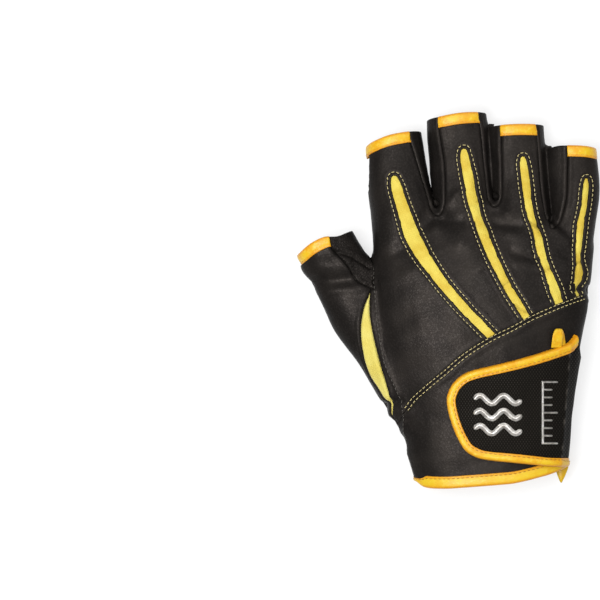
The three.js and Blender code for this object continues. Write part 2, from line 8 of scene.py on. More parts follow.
import bmesh
import bpy
import numpy as np
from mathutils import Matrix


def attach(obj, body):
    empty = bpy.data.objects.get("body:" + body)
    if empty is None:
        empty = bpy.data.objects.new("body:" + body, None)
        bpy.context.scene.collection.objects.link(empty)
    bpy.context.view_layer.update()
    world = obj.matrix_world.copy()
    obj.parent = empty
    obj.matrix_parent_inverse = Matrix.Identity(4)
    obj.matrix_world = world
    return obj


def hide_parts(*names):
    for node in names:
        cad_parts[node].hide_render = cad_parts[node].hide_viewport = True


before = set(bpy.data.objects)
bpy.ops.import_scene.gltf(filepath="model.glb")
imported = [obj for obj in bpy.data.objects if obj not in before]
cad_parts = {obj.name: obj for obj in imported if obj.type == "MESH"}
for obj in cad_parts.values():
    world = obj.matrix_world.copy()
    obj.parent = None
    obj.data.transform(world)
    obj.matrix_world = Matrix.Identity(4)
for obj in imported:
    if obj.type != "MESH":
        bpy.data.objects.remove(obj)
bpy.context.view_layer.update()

import openvdb
from mathutils import Vector
from mathutils.bvhtree import BVHTree
from mathutils.kdtree import KDTree

Array = np.ndarray
Points2 = Sequence[tuple[float, float]]
Colour = tuple[float, float, float]
Material = bpy.types.Material
Waves = tuple[tuple[float, float, int], ...]  # height, size and seed of soft noises
log = logging.getLogger("glove")

MM = 0.001
SOLE = 0.4  # the palm leather lies this far above the table, on its raised cells
SIDE_SEAM_Z = 6.5
WEB_LEAN = -0.4
WEB_PIVOT = 12.0
THUMB_ROOT = (-22.0, -62.0)
THUMB_LEAN = math.radians(29)
LIGHT = 1.45  # the studio is this much brighter than white needs, so that the floor stays pale
DIM: Colour = (0.15, 0.15, 0.15)  # tint of the gloss on black
PALM_BELLY = 4.6  # roundness of a section's lower half, where 2 is an ellipse
FINGER_BELLY = 3.0
HIDDEN_EDGE = 0.3  # distance to a binding's edge where its tape is turned under
WAVE_SCALE = 0.314  # scale of a wave texture whose bands lie a millimetre apart

# Sections in millimetres: y, left edge, right edge, crown height, height of the widest point
PALM = (
    (-92, -26.6, 35.6, 26.5, 12.5), (-78, -28.8, 37.2, 27.5, 12.8), (-70, -31, 37.8, 28.2, 13),
    (-62, -31.9, 38.5, 29, 13.2), (-48, -34.6, 39.4, 30.2, 13.6), (-34, -39.6, 41.2, 31.4, 14),
    (-20, -44.6, 44.2, 32.4, 14.2), (-5, -47.2, 47, 32.8, 14.2), (10, -47.4, 48.4, 32.4, 13.8),
    (22, -46.9, 49.3, 30, 13), (34, -47.2, 50.2, 25.5, 12), (46, -48.2, 51.4, 20.5, 11),
)
FINGERS = {
    "index": (
        (12, -46.8, -22, 25.5, 12.6), (26, -47, -20.6, 26, 12.2), (38, -48, -19.5, 25.6, 11.4),
        (52, -49.4, -22.4, 23, 10.6), (62, -49.8, -24, 21.4, 10), (71, -49.7, -25.6, 20.6, 9.7),
        (82, -49.6, -27.6, 20.2, 9.6),
    ),
    "middle": (
        (12, -16.5, 4.2, 29.5, 13.4), (26, -17.6, 5, 29.2, 12.6), (38, -18.4, 5.8, 27, 11.6),
        (52, -21.4, 5.2, 23.8, 10.7), (62, -22.4, 4.6, 22.2, 10.2), (74, -23.2, 3.7, 21, 9.8),
        (92, -23.2, 1, 20.4, 9.6),
    ),
    "ring": (
        (12, 9, 29.6, 28.4, 13.2), (26, 7.8, 30.6, 27.8, 12.4), (38, 6.8, 31, 25.8, 11.4),
        (52, 5.2, 29.9, 22.8, 10.5), (62, 4.4, 29.3, 21.4, 10), (74, 3.9, 28.1, 20.4, 9.6), (88, 4.8, 27, 20, 9.5),
    ),
    "little": (
        (8, 34, 47.4, 21, 11.8), (22, 33.4, 49.1, 22.6, 11.4), (34, 32.2, 50.7, 22.4, 10.8),
        (44, 30.8, 52.2, 21.2, 10.2), (54, 29.6, 52.3, 20, 9.6), (66, 29, 50.6, 19, 9.2), (78, 29.6, 49.4, 18.6, 9),
    ),
}
THUMB = (
    (-6, -7, 12, 21, 11), (8, -9, 14, 23, 11), (26, -10, 17, 24, 10.8), (45, -11, 19.5, 23.6, 10.6),
    (62, -12.9, 18.6, 22.6, 10.4), (76, -12.3, 16.2, 21.8, 10.2), (90, -11.6, 15.2, 21.2, 10),
    (112, -10.8, 14.6, 21, 10),
)

# Where the fingers part and where each piece ends, from left to right on the plan
WEB_LINE = (
    (-70, 14), (-46, 18), (-36, 34), (-26, 41), (-18.9, 42.2), (-12, 42.6), (0, 44.6), (6.4, 45.2), (13, 43.6),
    (24, 39.5), (32.4, 36.4), (38, 32.5), (45, 24), (70, 19),
)
FINGER_ENDS = {
    "index": (
        (-54, 65.6), (-50.3, 67.6), (-47.6, 69.5), (-41.4, 72.1), (-36, 73.4), (-29, 74.4), (-22.6, 74.6),
    ),
    "middle": ((-26.5, 77.6), (-23, 79.6), (-18.4, 80.6), (-9, 82.3), (-1, 82.8), (4.1, 82.6)),
    "ring": ((3.7, 76.4), (8, 76.9), (16, 77.4), (24, 77.4), (29, 77.2)),
    "little": ((28.6, 66.2), (33.6, 67.8), (39, 68), (46, 67.8), (50.2, 67.2), (54, 66.4)),
}
FINGER_SPANS = {"index": (-90.0, -24.4), "middle": (-24.4, 3.8), "ring": (3.8, 29.1), "little": (29.1, 90.0)}
FINGER_ZONE = 30.0  # the fingers lie beyond this y
THUMB_ZONE = (-49.0, 70.0)  # the thumb's end lies left of this x, and beyond this place along the thumb
THUMB_END = ((-14, 99.4), (-10.5, 100.2), (-4, 101.4), (2.7, 101), (8, 98.6), (13, 98), (19, 97.6))
CUFF_END = (
    (-40, -77), (-29, -79.2), (-24.4, -82.3), (-16, -82.9), (-8, -82.5), (9, -81.2), (16, -80.4), (25.5, -78.1),
    (33.4, -75.7), (42, -71.5), (50, -67),
)

# Seam lines on the plan
GUSSET_SEAMS = {
    "gusset_index_middle": (
        (-31.6, 90), (-31.2, 73), (-30.2, 68.6), (-27, 59), (-23.4, 47), (-21.8, 41), (-20.4, 38.4), (-18.9, 37.6),
        (-17.2, 38.4), (-15.8, 42), (-15.6, 47), (-15.8, 59), (-17.4, 70), (-18.2, 76), (-18.4, 90),
    ),
    "gusset_middle_ring": (
        (-1.4, 90), (-0.9, 80), (-0.1, 77.3), (1.6, 64.5), (3.1, 49.5), (3.6, 45), (4.6, 42), (6.3, 41), (8.2, 42),
        (9.2, 45), (9.4, 50), (9.3, 61), (9.2, 72), (9.1, 77), (9, 90),
    ),
    "gusset_ring_little": (
        (24, 90), (24.3, 77), (25.2, 72), (26.8, 52), (28.6, 38.7), (29.8, 34.6), (31, 32.4), (32.4, 31.6),
        (33.9, 32.8), (35.7, 36.5), (37.6, 43), (38.2, 48), (38.6, 62.5), (38.4, 68), (38.4, 90),
    ),
}
SEAM_LINES = {
    "diagonal": (
        (-36, -54), (-33, -49), (-29, -43.6), (-22, -37.4), (-14.5, -31.2), (-8, -25.5), (-1, -20.7), (6.6, -16.3),
        (14, -12.8), (22, -8.4), (30, -4.8), (37.4, -1.8), (46.2, 1.3), (56, 3.6),
    ),
    "thumb": (
        (-50.4, 44), (-49.4, 26), (-47.8, 17.4), (-46.9, 13), (-47.2, 8), (-48.2, 3), (-48.5, -5), (-47.5, -12.6),
        (-45.9, -20.8), (-43.9, -29.4), (-41.7, -37.4), (-39.6, -45), (-37.9, -51), (-35.4, -57.4), (-33.4, -64),
        (-32.6, -72),
    ),
    "crescent": (
        (-47.8, 4.4), (-49.4, 0.6), (-51, -3.4), (-52.4, -10.9), (-52.4, -18), (-50.9, -26.2), (-48.4, -33.4),
        (-45.3, -38.5), (-42.2, -43.6), (-39.7, -47.2), (-38.7, -49.8), (-37.3, -52.2),
    ),
    "thumb_inner": (
        (-67.4, 34), (-65.6, 23.6), (-63.7, 21), (-58.7, 15.3), (-56, 11), (-53.6, 8.2), (-50.4, 6.4), (-46.4, 4.6),
    ),
    "finger_front": (
        (-60, 42.6), (-47.4, 40), (-36.6, 36.2), (-23, 34.6), (-10, 31.6), (5, 29.6), (24, 29), (46, 29.6),
        (60, 30.6),
    ),
    "patch": (
        (-60, 19.4), (-47, 18.6), (-36, 18.2), (-27, 17.2), (-19.8, 15), (-11.2, 10.5), (-5, 4.4), (1, -7.8),
        (2.8, -16.5), (6.3, -26), (11.5, -31.3), (17.6, -34.8), (27.2, -37), (40, -38.2), (60, -39),
    ),
    "arc": (
        (-54, 21), (-47.6, 15.6), (-38, 14.2), (-29, 13.4), (-20.4, 11.6), (-15.6, 7.4), (-10.6, -1.2), (-7, -11.4),
        (-5.8, -20.8), (-6.6, -31), (-9.8, -44.4), (-16.8, -53.8), (-24.6, -58.4), (-32, -59.6), (-44, -60),
    ),
    "strap": (
        (60, -7), (45.4, -12.4), (43.2, -15.2), (41, -18.0), (38.4, -19.5), (28.6, -22.9), (18.4, -25.8),
        (8.3, -28.3), (-1.8, -30.7), (-7.4, -32.8), (-11.6, -36.2), (-14, -40.2), (-14.9, -44.2), (-14, -50.2),
        (-11.9, -56.8), (-9.3, -62.4), (-6.2, -66.8), (-1.6, -69.5), (3.4, -70.6), (13.4, -71.7), (23.5, -72.7),
        (34, -73.5), (60, -73.8),
    ),
}

# Slots of the stripes: x, y and half width down each
STRIPES = {
    "stripe_index": (
        (-37.8, 53.7, 1.3), (-37.3, 51.6, 2.0), (-36.6, 49, 2.3), (-35.7, 45.8, 2.4), (-33.4, 38.7, 2.7),
        (-30.4, 29.9, 3.35), (-28.4, 25.5, 3.25), (-26.2, 21.4, 3.1), (-23.2, 16.7, 2.75), (-19.8, 11.9, 2.35),
        (-16.2, 7, 2.2), (-12.2, 2.2, 2.05), (-8.3, -2.2, 2), (-4.2, -6.6, 1.9), (0.2, -11, 1.9), (3.9, -14.8, 1.85),
    ),
    "stripe_middle": (
        (-7, 65.6, 1.2), (-6.9, 63.6, 1.75), (-6.6, 61.6, 1.95), (-6.1, 59, 2), (-5.2, 54.6, 2.3), (-4.4, 50.2, 2.2),
        (-3.6, 45.8, 2.2), (-2.6, 42.4, 2.35), (-1.7, 38.7, 1.9), (-0.4, 34.3, 1.95), (1.3, 29.9, 2.2),
        (3.3, 24.6, 2.05), (5.5, 19.4, 2), (7.9, 14.1, 1.9), (10.6, 8.8, 1.75), (13.5, 3.5, 1.75), (16.3, -0.9, 1.7),
        (19.2, -5.6, 1.55),
    ),
    "stripe_ring": (
        (19, 62.4, 1), (19.1, 60.4, 1.5), (19.4, 58.1, 1.65), (20, 53.7, 1.75), (20.5, 49.3, 1.75), (21.1, 44.9, 1.6),
        (21.7, 40.5, 1.7), (22.5, 37, 1.55), (23.8, 33.4, 1.4), (25, 29.9, 1.5), (25.9, 26.4, 1.8), (26.8, 22, 1.75),
        (28.1, 17.6, 1.45), (29.8, 13.2, 1.45), (31.4, 8.8, 1.75), (33, 4.4, 2.15), (34.4, 0.4, 1.85),
    ),
    "stripe_little": (
        (46.9, 53, 0.7), (46.8, 51, 1.2), (46.5, 47.5, 1.35), (46, 42.2, 1.3), (45.1, 37, 1.35), (44.3, 32.6, 1.65),
        (43.9, 28.2, 1.5), (43.6, 23.8, 1.35), (43.4, 19.4, 0.95), (43.6, 15.8, 1.15), (43.8, 12.3, 1.95),
        (43.5, 9.3, 1.7), (43.1, 7.5, 1.3), (42.9, 5.8, 1), (43.1, 3.9, 0.85),
    ),
}


def smooth_step(low: float, high: float, value: Array) -> Array:
    """Rises smoothly from 0 at `low` to 1 at `high`."""
    t = np.clip((value - low) / (high - low), 0.0, 1.0)
    return t * t * (3.0 - 2.0 * t)


def bell(value: Array, width: float) -> Array:
    """A bell curve, 1 where the value is 0, that fades over a width."""
    return np.exp(-((value / width) ** 2))


def blend_min(a: Array, b: Array, reach: float) -> Array:
    """Smaller of two distances, rounded within `reach` of where they meet."""
    h = np.clip(0.5 + 0.5 * (b - a) / reach, 0.0, 1.0)
    return b + (a - b) * h - reach * h * (1.0 - h)


def blend_max(a: Array, b: Array, reach: float) -> Array:
    """Larger of two distances, rounded within `reach` of where they meet."""
    return -blend_min(-a, -b, reach)


def hermite(t: Array, start: Array, stop: Array, slope_in: Array, slope_out: Array) -> Array:
    """Cubic between two values with given slopes at its ends, for t from 0 to 1.

    Args:
        t: Place between the two, from 0 to 1.
        start: The first value.
        stop: The last value.
        slope_in: Slope at the first.
        slope_out: Slope at the last.

    Returns:
        The value at t.
    """
    t2, t3 = t * t, t * t * t
    bend = (2 * t3 - 3 * t2 + 1) * start + (t3 - 2 * t2 + t) * slope_in
    return bend + (3 * t2 - 2 * t3) * stop + (t3 - t2) * slope_out


def unit(way: Array) -> Array:
    """A direction of length 1."""
    return way / np.linalg.norm(way)


def soft_noise(points: Array, size: float, seed: int) -> Array:
    """Smooth noise of about unit height.

    Args:
        points: Places, one a row, in millimetres.
        size: Typical width of a bump in millimetres.
        seed: Picks the pattern.

    Returns:
        One value a point.
    """
    rng = np.random.default_rng(seed)
    total = np.zeros(len(points))
    for _ in range(7):
        way = rng.normal(size=3)
        way *= rng.uniform(0.6, 1.5) / np.linalg.norm(way)
        total += np.sin(points @ way * (np.pi / size) + rng.uniform(0, 2 * np.pi))
    return total / 3.0


def noises(points: Array, waves: Waves) -> Array:
    """The sum of some soft noises, each with its own height."""
    return sum(height * soft_noise(points, size, seed) for height, size, seed in waves)


class Path:
    """A smooth line in the plane of the table, in millimetres."""

    STEP = 0.3
    BENDS = 24  # samples of the spline between two corners

    def __init__(self, points: Points2, step: float = STEP) -> None:
        """Draws a spline through points, and samples it at an even step.

        Args:
            points: Its corners.
            step: Distance between two samples.
        """
        corners = np.array(points, float)
        ends = np.vstack([corners[:1], corners, corners[-1:]])
        t = np.linspace(0.0, 1.0, self.BENDS, endpoint=False)[:, None]
        parts = [
            hermite(t, p1, p2, 0.5 * (p2 - p0), 0.5 * (p3 - p1))
            for p0, p1, p2, p3 in zip(ends[:-3], ends[1:-2], ends[2:-1], ends[3:])
        ]
        self.xy = self.spaced(np.vstack([*parts, corners[-1:]]), step)

    @staticmethod
    def run(line: Array) -> Array:
        """Distance along a line of any dimension at each of its points."""
        return np.concatenate([[0.0], np.cumsum(np.linalg.norm(np.diff(line, axis=0), axis=1))])

    @classmethod
    def spaced(cls, line: Array, step: float) -> Array:
        """Resamples a line of any dimension at an even distance.

        Args:
            line: The line's points.
            step: The distance, stretched a little to fit the line.

        Returns:
            The even points.
        """
        run = cls.run(line)
        at = np.linspace(0.0, run[-1], max(int(round(run[-1] / step)), 2) + 1)
        return np.column_stack([np.interp(at, run, column) for column in line.T])

    @staticmethod
    def beside(xy: Array, by: Array | float) -> Array:
        """Moves a line sideways, to the left of its direction where `by` is positive.

        Args:
            xy: The line's points.
            by: How far, one value or one a point.

        Returns:
            The moved points.
        """
        along = np.gradient(xy, axis=0)
        along /= np.linalg.norm(along, axis=1)[:, None]
        return xy + np.column_stack([-along[:, 1], along[:, 0]]) * np.reshape(by, (-1, 1))

    def height_at(self, x: Array) -> Array:
        """The line's y where it passes x; only for a line that runs from left to right."""
        return np.interp(x, *self.xy.T)


def inside(outline: Array, xy: Array) -> Array:
    """Tells which points lie inside a closed outline.

    Args:
        outline: Corners in order.
        xy: Points to test.

    Returns:
        One truth value a point.
    """
    result = np.zeros(len(xy), bool)
    near = np.flatnonzero(np.all((xy >= outline.min(0)) & (xy <= outline.max(0)), axis=1))
    x, y = xy[near].T
    flips = np.zeros(len(near), bool)
    for (x1, y1), (x2, y2) in zip(outline, np.roll(outline, -1, axis=0)):
        if y1 != y2:
            flips ^= ((y1 > y) != (y2 > y)) & (x < (x2 - x1) * (y - y1) / (y2 - y1) + x1)
    result[near] = flips
    return result


class Loft:
    """A tube through sections that stand across y."""

    CROWN_POWER = 2.35
    PRESS = 1.6

    def __init__(self, rows: Sequence[tuple[float, ...]], belly: float) -> None:
        """Keeps the table of sections.

        Args:
            rows: y, left edge, right edge, crown height and equator height of each section.
            belly: Roundness of the lower half, where 2 is an ellipse.
        """
        self.belly = belly
        self.y, self.values = np.array(rows, float).T[0], np.array(rows, float).T[1:]
        steps = np.diff(self.values) / np.diff(self.y)
        bends = (self.values[:, 2:] - self.values[:, :-2]) / (self.y[2:] - self.y[:-2])
        self.slopes = np.column_stack([steps[:, 0], bends, steps[:, -1]])

    def columns(self, y: Array) -> Array:
        """Left, right, crown and equator at each y, on smooth curves through the rows.

        Args:
            y: Places along the tube.

        Returns:
            The four measures, one a row.
        """
        i = np.clip(np.searchsorted(self.y, y, side="right") - 1, 0, len(self.y) - 2)
        span = self.y[i + 1] - self.y[i]
        t = np.clip((y - self.y[i]) / span, 0.0, 1.0)
        v, s = self.values, self.slopes
        return hermite(t, v[:, i], v[:, i + 1], span * s[:, i], span * s[:, i + 1])

    def distance(self, x: Array, y: Array, z: Array) -> Array:
        """Distance to the tube's surface along the section's radius, negative inside.

        Args:
            x: Places across the tube.
            y: Places along it.
            z: Their heights.

        Returns:
            One distance a place.
        """
        left, right, crown, equator = self.columns(y)
        across = x - (left + right) / 2
        above = z - equator
        upper = above >= 0
        reach = np.where(upper, crown - equator, equator + self.PRESS)
        power = np.where(upper, self.CROWN_POWER, self.belly)
        u = np.abs(across) / ((right - left) / 2)
        v = np.abs(above) / reach
        rho = (u**power + v**power) ** (1.0 / power) + 1e-6
        radius = np.sqrt(across**2 + above**2)
        return np.maximum(radius - radius / rho, self.y[0] - y)

    def ring(self, turn: Array, y: Array) -> Array:
        """Points on the tube.

        Args:
            turn: Angle round the section, 0 at the right edge and a quarter turn at the crown.
            y: Place along the tube.

        Returns:
            One point a row.
        """
        left, right, crown, equator = self.columns(y)
        c, s = np.cos(turn), np.sin(turn)
        power = 2.0 / np.where(s >= 0, self.CROWN_POWER, self.belly)
        reach = np.where(s >= 0, crown - equator, equator + self.PRESS)
        x = (left + right) / 2 + (right - left) / 2 * np.sign(c) * np.abs(c) ** power
        z = equator + reach * np.sign(s) * np.abs(s) ** power
        return np.column_stack([x, y, np.maximum(z, SOLE)])


def to_thumb(x: Array, y: Array) -> tuple[Array, Array]:
    """Turns glove coordinates into the thumb's own.

    Args:
        x: Places to the right.
        y: Places towards the fingers.

    Returns:
        Places across the thumb, and along it.
    """
    c, s = math.cos(THUMB_LEAN), math.sin(THUMB_LEAN)
    dx, dy = x - THUMB_ROOT[0], y - THUMB_ROOT[1]
    return c * dx + s * dy, c * dy - s * dx


def from_thumb(points: Array) -> Array:
    """Turns points from the thumb's coordinates into the glove's.

    Args:
        points: Points, one a row.

    Returns:
        The turned points.
    """
    c, s = math.cos(THUMB_LEAN), math.sin(THUMB_LEAN)
    x, y, z = points.T
    return np.column_stack([c * x - s * y + THUMB_ROOT[0], s * x + c * y + THUMB_ROOT[1], z])


@dataclass
class HandForm:
    """The soft hand-shaped body that every piece is laid on."""

    root_blend: float = 3.0
    thumb_blend: float = 2.6
    finger_blend: float = 1.3
    sole_blend: float = 3.0
    web_blend: float = 3.0
    web_slope: float = 1.08
    end_press: float = 1.2
    end_start: float = 1.5  # how far past its end line a finger starts to narrow
    swell: float = 0.225
    swell_rise: tuple[float, float] = (4.0, 14.0)
    core: float = 9.0  # a height inside the body
    sky: float = 50.0  # a height above it
    probe: float = 0.15
    stride: float = 1.5
    band: float = 4.0  # how far from the surface the grid keeps distances
    low: tuple[float, float, float] = (-86.0, -92.0, -3.0)
    high: tuple[float, float, float] = (60.0, 94.0, 38.0)
    hand: Loft = field(default_factory=lambda: Loft(PALM, PALM_BELLY))
    thumb: Loft = field(default_factory=lambda: Loft(THUMB, FINGER_BELLY))
    fingers: dict[str, Loft] = field(
        default_factory=lambda: {name: Loft(rows, FINGER_BELLY) for name, rows in FINGERS.items()}
    )
    ends: dict[str, Path] = field(
        default_factory=lambda: {name: Path(line) for name, line in FINGER_ENDS.items()}
    )
    web: Path = field(default_factory=lambda: Path(WEB_LINE))

    def distance(self, x: Array, y: Array, z: Array) -> Array:
        """Distance to the body's surface in millimetres, negative inside.

        Args:
            x: Places to the right.
            y: Places towards the fingers.
            z: Their heights.

        Returns:
            One distance a place.
        """
        past = (y - self.web.height_at(x) + WEB_LEAN * (WEB_PIVOT - z)) / self.web_slope
        body = blend_max(self.hand.distance(x, y, z), past, self.web_blend)
        fingers = None
        for name, loft in self.fingers.items():
            beyond = np.maximum(y - self.ends[name].height_at(x) - self.end_start, 0.0)
            one = loft.distance(x, y, z) + self.end_press * beyond
            fingers = one if fingers is None else blend_min(fingers, one, self.finger_blend)
        body = blend_min(body, fingers, self.root_blend)
        body = blend_min(body, self.thumb.distance(*to_thumb(x, y), z), self.thumb_blend)
        body = blend_max(body, SOLE - z, self.sole_blend)
        waves = (
            np.sin(x * 0.155 + 1.3 + 0.5 * np.sin(y * 0.07)) * np.sin(y * 0.117 + 0.4 * np.sin(x * 0.09 + 2.0))
            + 0.5 * np.sin(x * 0.31 - y * 0.21 + 0.6) * np.sin(y * 0.27 + x * 0.1)
        )
        return body - self.swell * waves * smooth_step(*self.swell_rise, z)

    def skin(self, cell: float, level: float) -> "Sheet":
        """Meshes the surface at one distance from the body.

        Args:
            cell: Size of the grid's cells in millimetres.
            level: Distance from the body's surface, negative inside.

        Returns:
            The closed surface.
        """
        x, y, z = (np.arange(a, b, cell) for a, b in zip(self.low, self.high))
        values = self.distance(x[:, None, None], y[None, :, None], z[None, None, :])
        values = np.broadcast_to(values, (len(x), len(y), len(z))) - level
        grid = openvdb.FloatGrid(self.band)
        grid.copyFromArray(np.ascontiguousarray(np.clip(values, -self.band, self.band), dtype=np.float32))
        points, _, quads = grid.convertToPolygons(0.0, 0.0)
        return Sheet.from_quads(np.array(points, float) * cell + np.array(self.low), np.array(quads, int))

    def settle(self, points: Array, lift: Array | float) -> Array:
        """Moves points straight out of or into the body until they lie at a distance from it.

        Args:
            points: Places near the surface.
            lift: Distance wanted, one value or one a point.

        Returns:
            The moved points.
        """
        points = points.copy()
        for _ in range(5):
            slope = self.slope(points)
            size = np.sum(slope * slope, axis=1)
            short = (lift * np.sqrt(size) - self.distance(*points.T)) / np.maximum(size, 0.2)
            points += slope * np.clip(short, -self.stride, self.stride)[:, None]
        return points

    def slope(self, points: Array) -> Array:
        """How fast the distance grows along x, y and z at each point.

        Args:
            points: Places, one a row.

        Returns:
            One slope a point, as x, y and z.
        """
        return np.column_stack([
            (self.distance(*(points + way).T) - self.distance(*(points - way).T)) / (2 * self.probe)
            for way in np.eye(3) * self.probe
        ])

    def normals(self, points: Array) -> Array:
        """Directions straight out of the body."""
        slope = self.slope(points)
        return slope / np.maximum(np.linalg.norm(slope, axis=1), 1e-6)[:, None]

    def crossing(self, xy: Array, inner: float, outer: float) -> Array:
        """Points of the surface at plan places.

        Args:
            xy: The places.
            inner: A height inside the body.
            outer: A height outside it.

        Returns:
            The points between the two heights.
        """
        deep, clear = np.full(len(xy), inner), np.full(len(xy), outer)
        for _ in range(16):
            middle = (deep + clear) / 2
            out = self.distance(*xy.T, middle) > 0
            deep, clear = np.where(out, deep, middle), np.where(out, middle, clear)
        return np.column_stack([xy, (deep + clear) / 2])

    def over(self, xy: Array, lift: Array | float = 0.0) -> Array:
        """Lays plan places at a distance straight out of the back of the body.

        Args:
            xy: The places.
            lift: The distance, one value or one a place.

        Returns:
            One point a place.
        """
        lift = np.reshape(np.broadcast_to(lift, len(xy)), (-1, 1))
        points = self.crossing(xy, self.core, self.sky)
        if not np.any(lift):
            return points
        for _ in range(4):
            points = self.crossing(xy - self.normals(points)[:, :2] * lift, self.core, self.sky)
        return points + self.normals(points) * lift


@dataclass
class Sheet:
    """A piece of skin: the places of its corners in millimetres, and three corner numbers a face."""

    points: Array
    faces: Array

    @classmethod
    def from_quads(cls, points: Array, quads: Array) -> "Sheet":
        """Cuts quads in two along their shorter diagonal.

        Args:
            points: Places of the corners.
            quads: Four corner numbers a face.

        Returns:
            The sheet.
        """
        a, b, c, d = quads.T
        one, two = (np.linalg.norm(points[p] - points[q], axis=1) for p, q in ((a, c), (b, d)))
        short = (one <= two)[:, None]
        first = np.where(short, np.column_stack([a, b, c]), np.column_stack([a, b, d]))
        second = np.where(short, np.column_stack([a, c, d]), np.column_stack([b, c, d]))
        return cls(points, np.vstack([first, second]))

    @classmethod
    def from_grid(cls, grid: Array, ring: bool = False) -> "Sheet":
        """Makes a tube from rows of points.

        Args:
            grid: Points, as rows by columns by three; the last column joins the first.
            ring: Whether the last row joins the first too, or else the ends are closed.

        Returns:
            The sheet.
        """
        rows, columns = grid.shape[:2]
        i, j = np.meshgrid(np.arange(rows if ring else rows - 1), np.arange(columns), indexing="ij")
        i, j = i.reshape(-1), j.reshape(-1)
        here, there, after = i * columns, (i + 1) % rows * columns, (j + 1) % columns
        sheet = cls.from_quads(grid.reshape(-1, 3), np.column_stack([here + j, here + after, there + after, there + j]))
        for row, way in () if ring else ((0, 1), (rows - 1, -1)):
            rim = row * columns + np.arange(columns)
            fan = np.column_stack([np.roll(rim, -1), rim, np.full(columns, len(sheet.points))])
            sheet = cls(np.vstack([sheet.points, grid[row].mean(0)]), np.vstack([sheet.faces, fan[:, ::way]]))
        return sheet

    @classmethod
    def gathered(cls, sheets: Sequence["Sheet"]) -> "Sheet":
        """Makes one sheet of many.

        Args:
            sheets: The sheets.

        Returns:
            All their faces, in order.
        """
        starts = np.cumsum([0] + [len(sheet.points) for sheet in sheets[:-1]])
        faces = [sheet.faces + start for sheet, start in zip(sheets, starts)]
        return cls(np.vstack([sheet.points for sheet in sheets]), np.vstack(faces))

    def flipped(self) -> "Sheet":
        """The sheet seen from its other side."""
        return Sheet(self.points, self.faces[:, ::-1])

    def part(self, chosen: Array) -> "Sheet":
        """A sheet of the chosen faces alone."""
        used, numbers = np.unique(self.faces[chosen], return_inverse=True)
        return Sheet(self.points[used], numbers.reshape(-1, 3))

    def eased(self, out: Array, rounds: int = 10, deep: float = 0.04, pull: float = 0.6) -> "Sheet":
        """Smooths the sheet's sharp hollows.

        Args:
            out: Direction out of the sheet at each corner.
            rounds: How many times each corner moves.
            deep: Depth of a hollow that is smoothed at full strength.
            pull: Share of the way to its neighbours' middle that a corner moves.

        Returns:
            The smoothed sheet.
        """
        sides = [self.faces[:, (i, (i + 1) % 3)] for i in range(3)]
        pairs = np.unique(np.sort(np.vstack(sides), axis=1), axis=0)
        start, end = np.concatenate([pairs, pairs[:, ::-1]]).T
        points, total = self.points, len(self.points)
        count = np.maximum(np.bincount(start, minlength=total), 1)[:, None]
        for _ in range(rounds):
            around = np.column_stack([np.bincount(start, axis[end], total) for axis in points.T]) / count
            hollow = np.clip(np.sum((around - points) * out, axis=1) / deep, 0.0, 1.0)
            points = points + (around - points) * pull * hollow[:, None]
        return Sheet(points, self.faces)

    def sliced(self, values: Array) -> tuple["Sheet", Array, Array]:
        """Adds corners where the values change sign.

        Args:
            values: One value a corner.

        Returns:
            The sheet, which of its faces are on the positive side, and the cut's short segments.
        """
        v = np.where(np.abs(values) < 1e-5, 1e-5, values)
        up = v > 0
        sides = up[self.faces]
        count = sides.sum(1)
        mixed = (count == 1) | (count == 2)
        whole, cut = self.faces[~mixed], self.faces[mixed]
        lone_up = count[mixed] == 1
        lone = np.where(lone_up, sides[mixed].argmax(1), sides[mixed].argmin(1))
        a, b, c = np.take_along_axis(cut, (lone[:, None] + np.arange(3)) % 3, 1).T
        edges = np.sort(np.vstack([np.column_stack([a, b]), np.column_stack([a, c])]), axis=1)
        (e1, e2), inverse = (part.T for part in np.unique(edges, axis=0, return_inverse=True))
        t = (v[e1] / (v[e1] - v[e2]))[:, None]
        new = self.points[e1] * (1 - t) + self.points[e2] * t
        first, second = np.split(inverse.reshape(-1), 2)
        p, q = len(self.points) + first, len(self.points) + second
        faces = np.vstack([whole, *(np.column_stack(f) for f in ((a, p, q), (p, b, c), (p, c, q)))])
        side = np.concatenate([up[whole[:, 0]], lone_up, ~lone_up, ~lone_up])
        return Sheet(np.vstack([self.points, new]), faces), side, np.stack([new[first], new[second]], axis=1)

    def split(self, values: Array) -> tuple["Sheet", "Sheet", Array]:
        """Cuts the sheet where the values change sign.

        Args:
            values: One value a corner.

        Returns:
            The positive side, the negative side, and the cut's short segments.
        """
        whole, side, segments = self.sliced(values)
        return whole.part(side), whole.part(~side), segments

    def scored(self, values: Array, levels: Sequence[float]) -> "Sheet":
        """Adds rows of corners where the values pass each level.

        Args:
            values: One value a corner.
            levels: Values to mark.

        Returns:
            The sheet with the new corners.
        """
        sheet = self
        for level in levels:
            sheet = sheet.sliced(values - level)[0]
            values = np.concatenate([values, np.full(len(sheet.points) - len(values), level)])
        return sheet

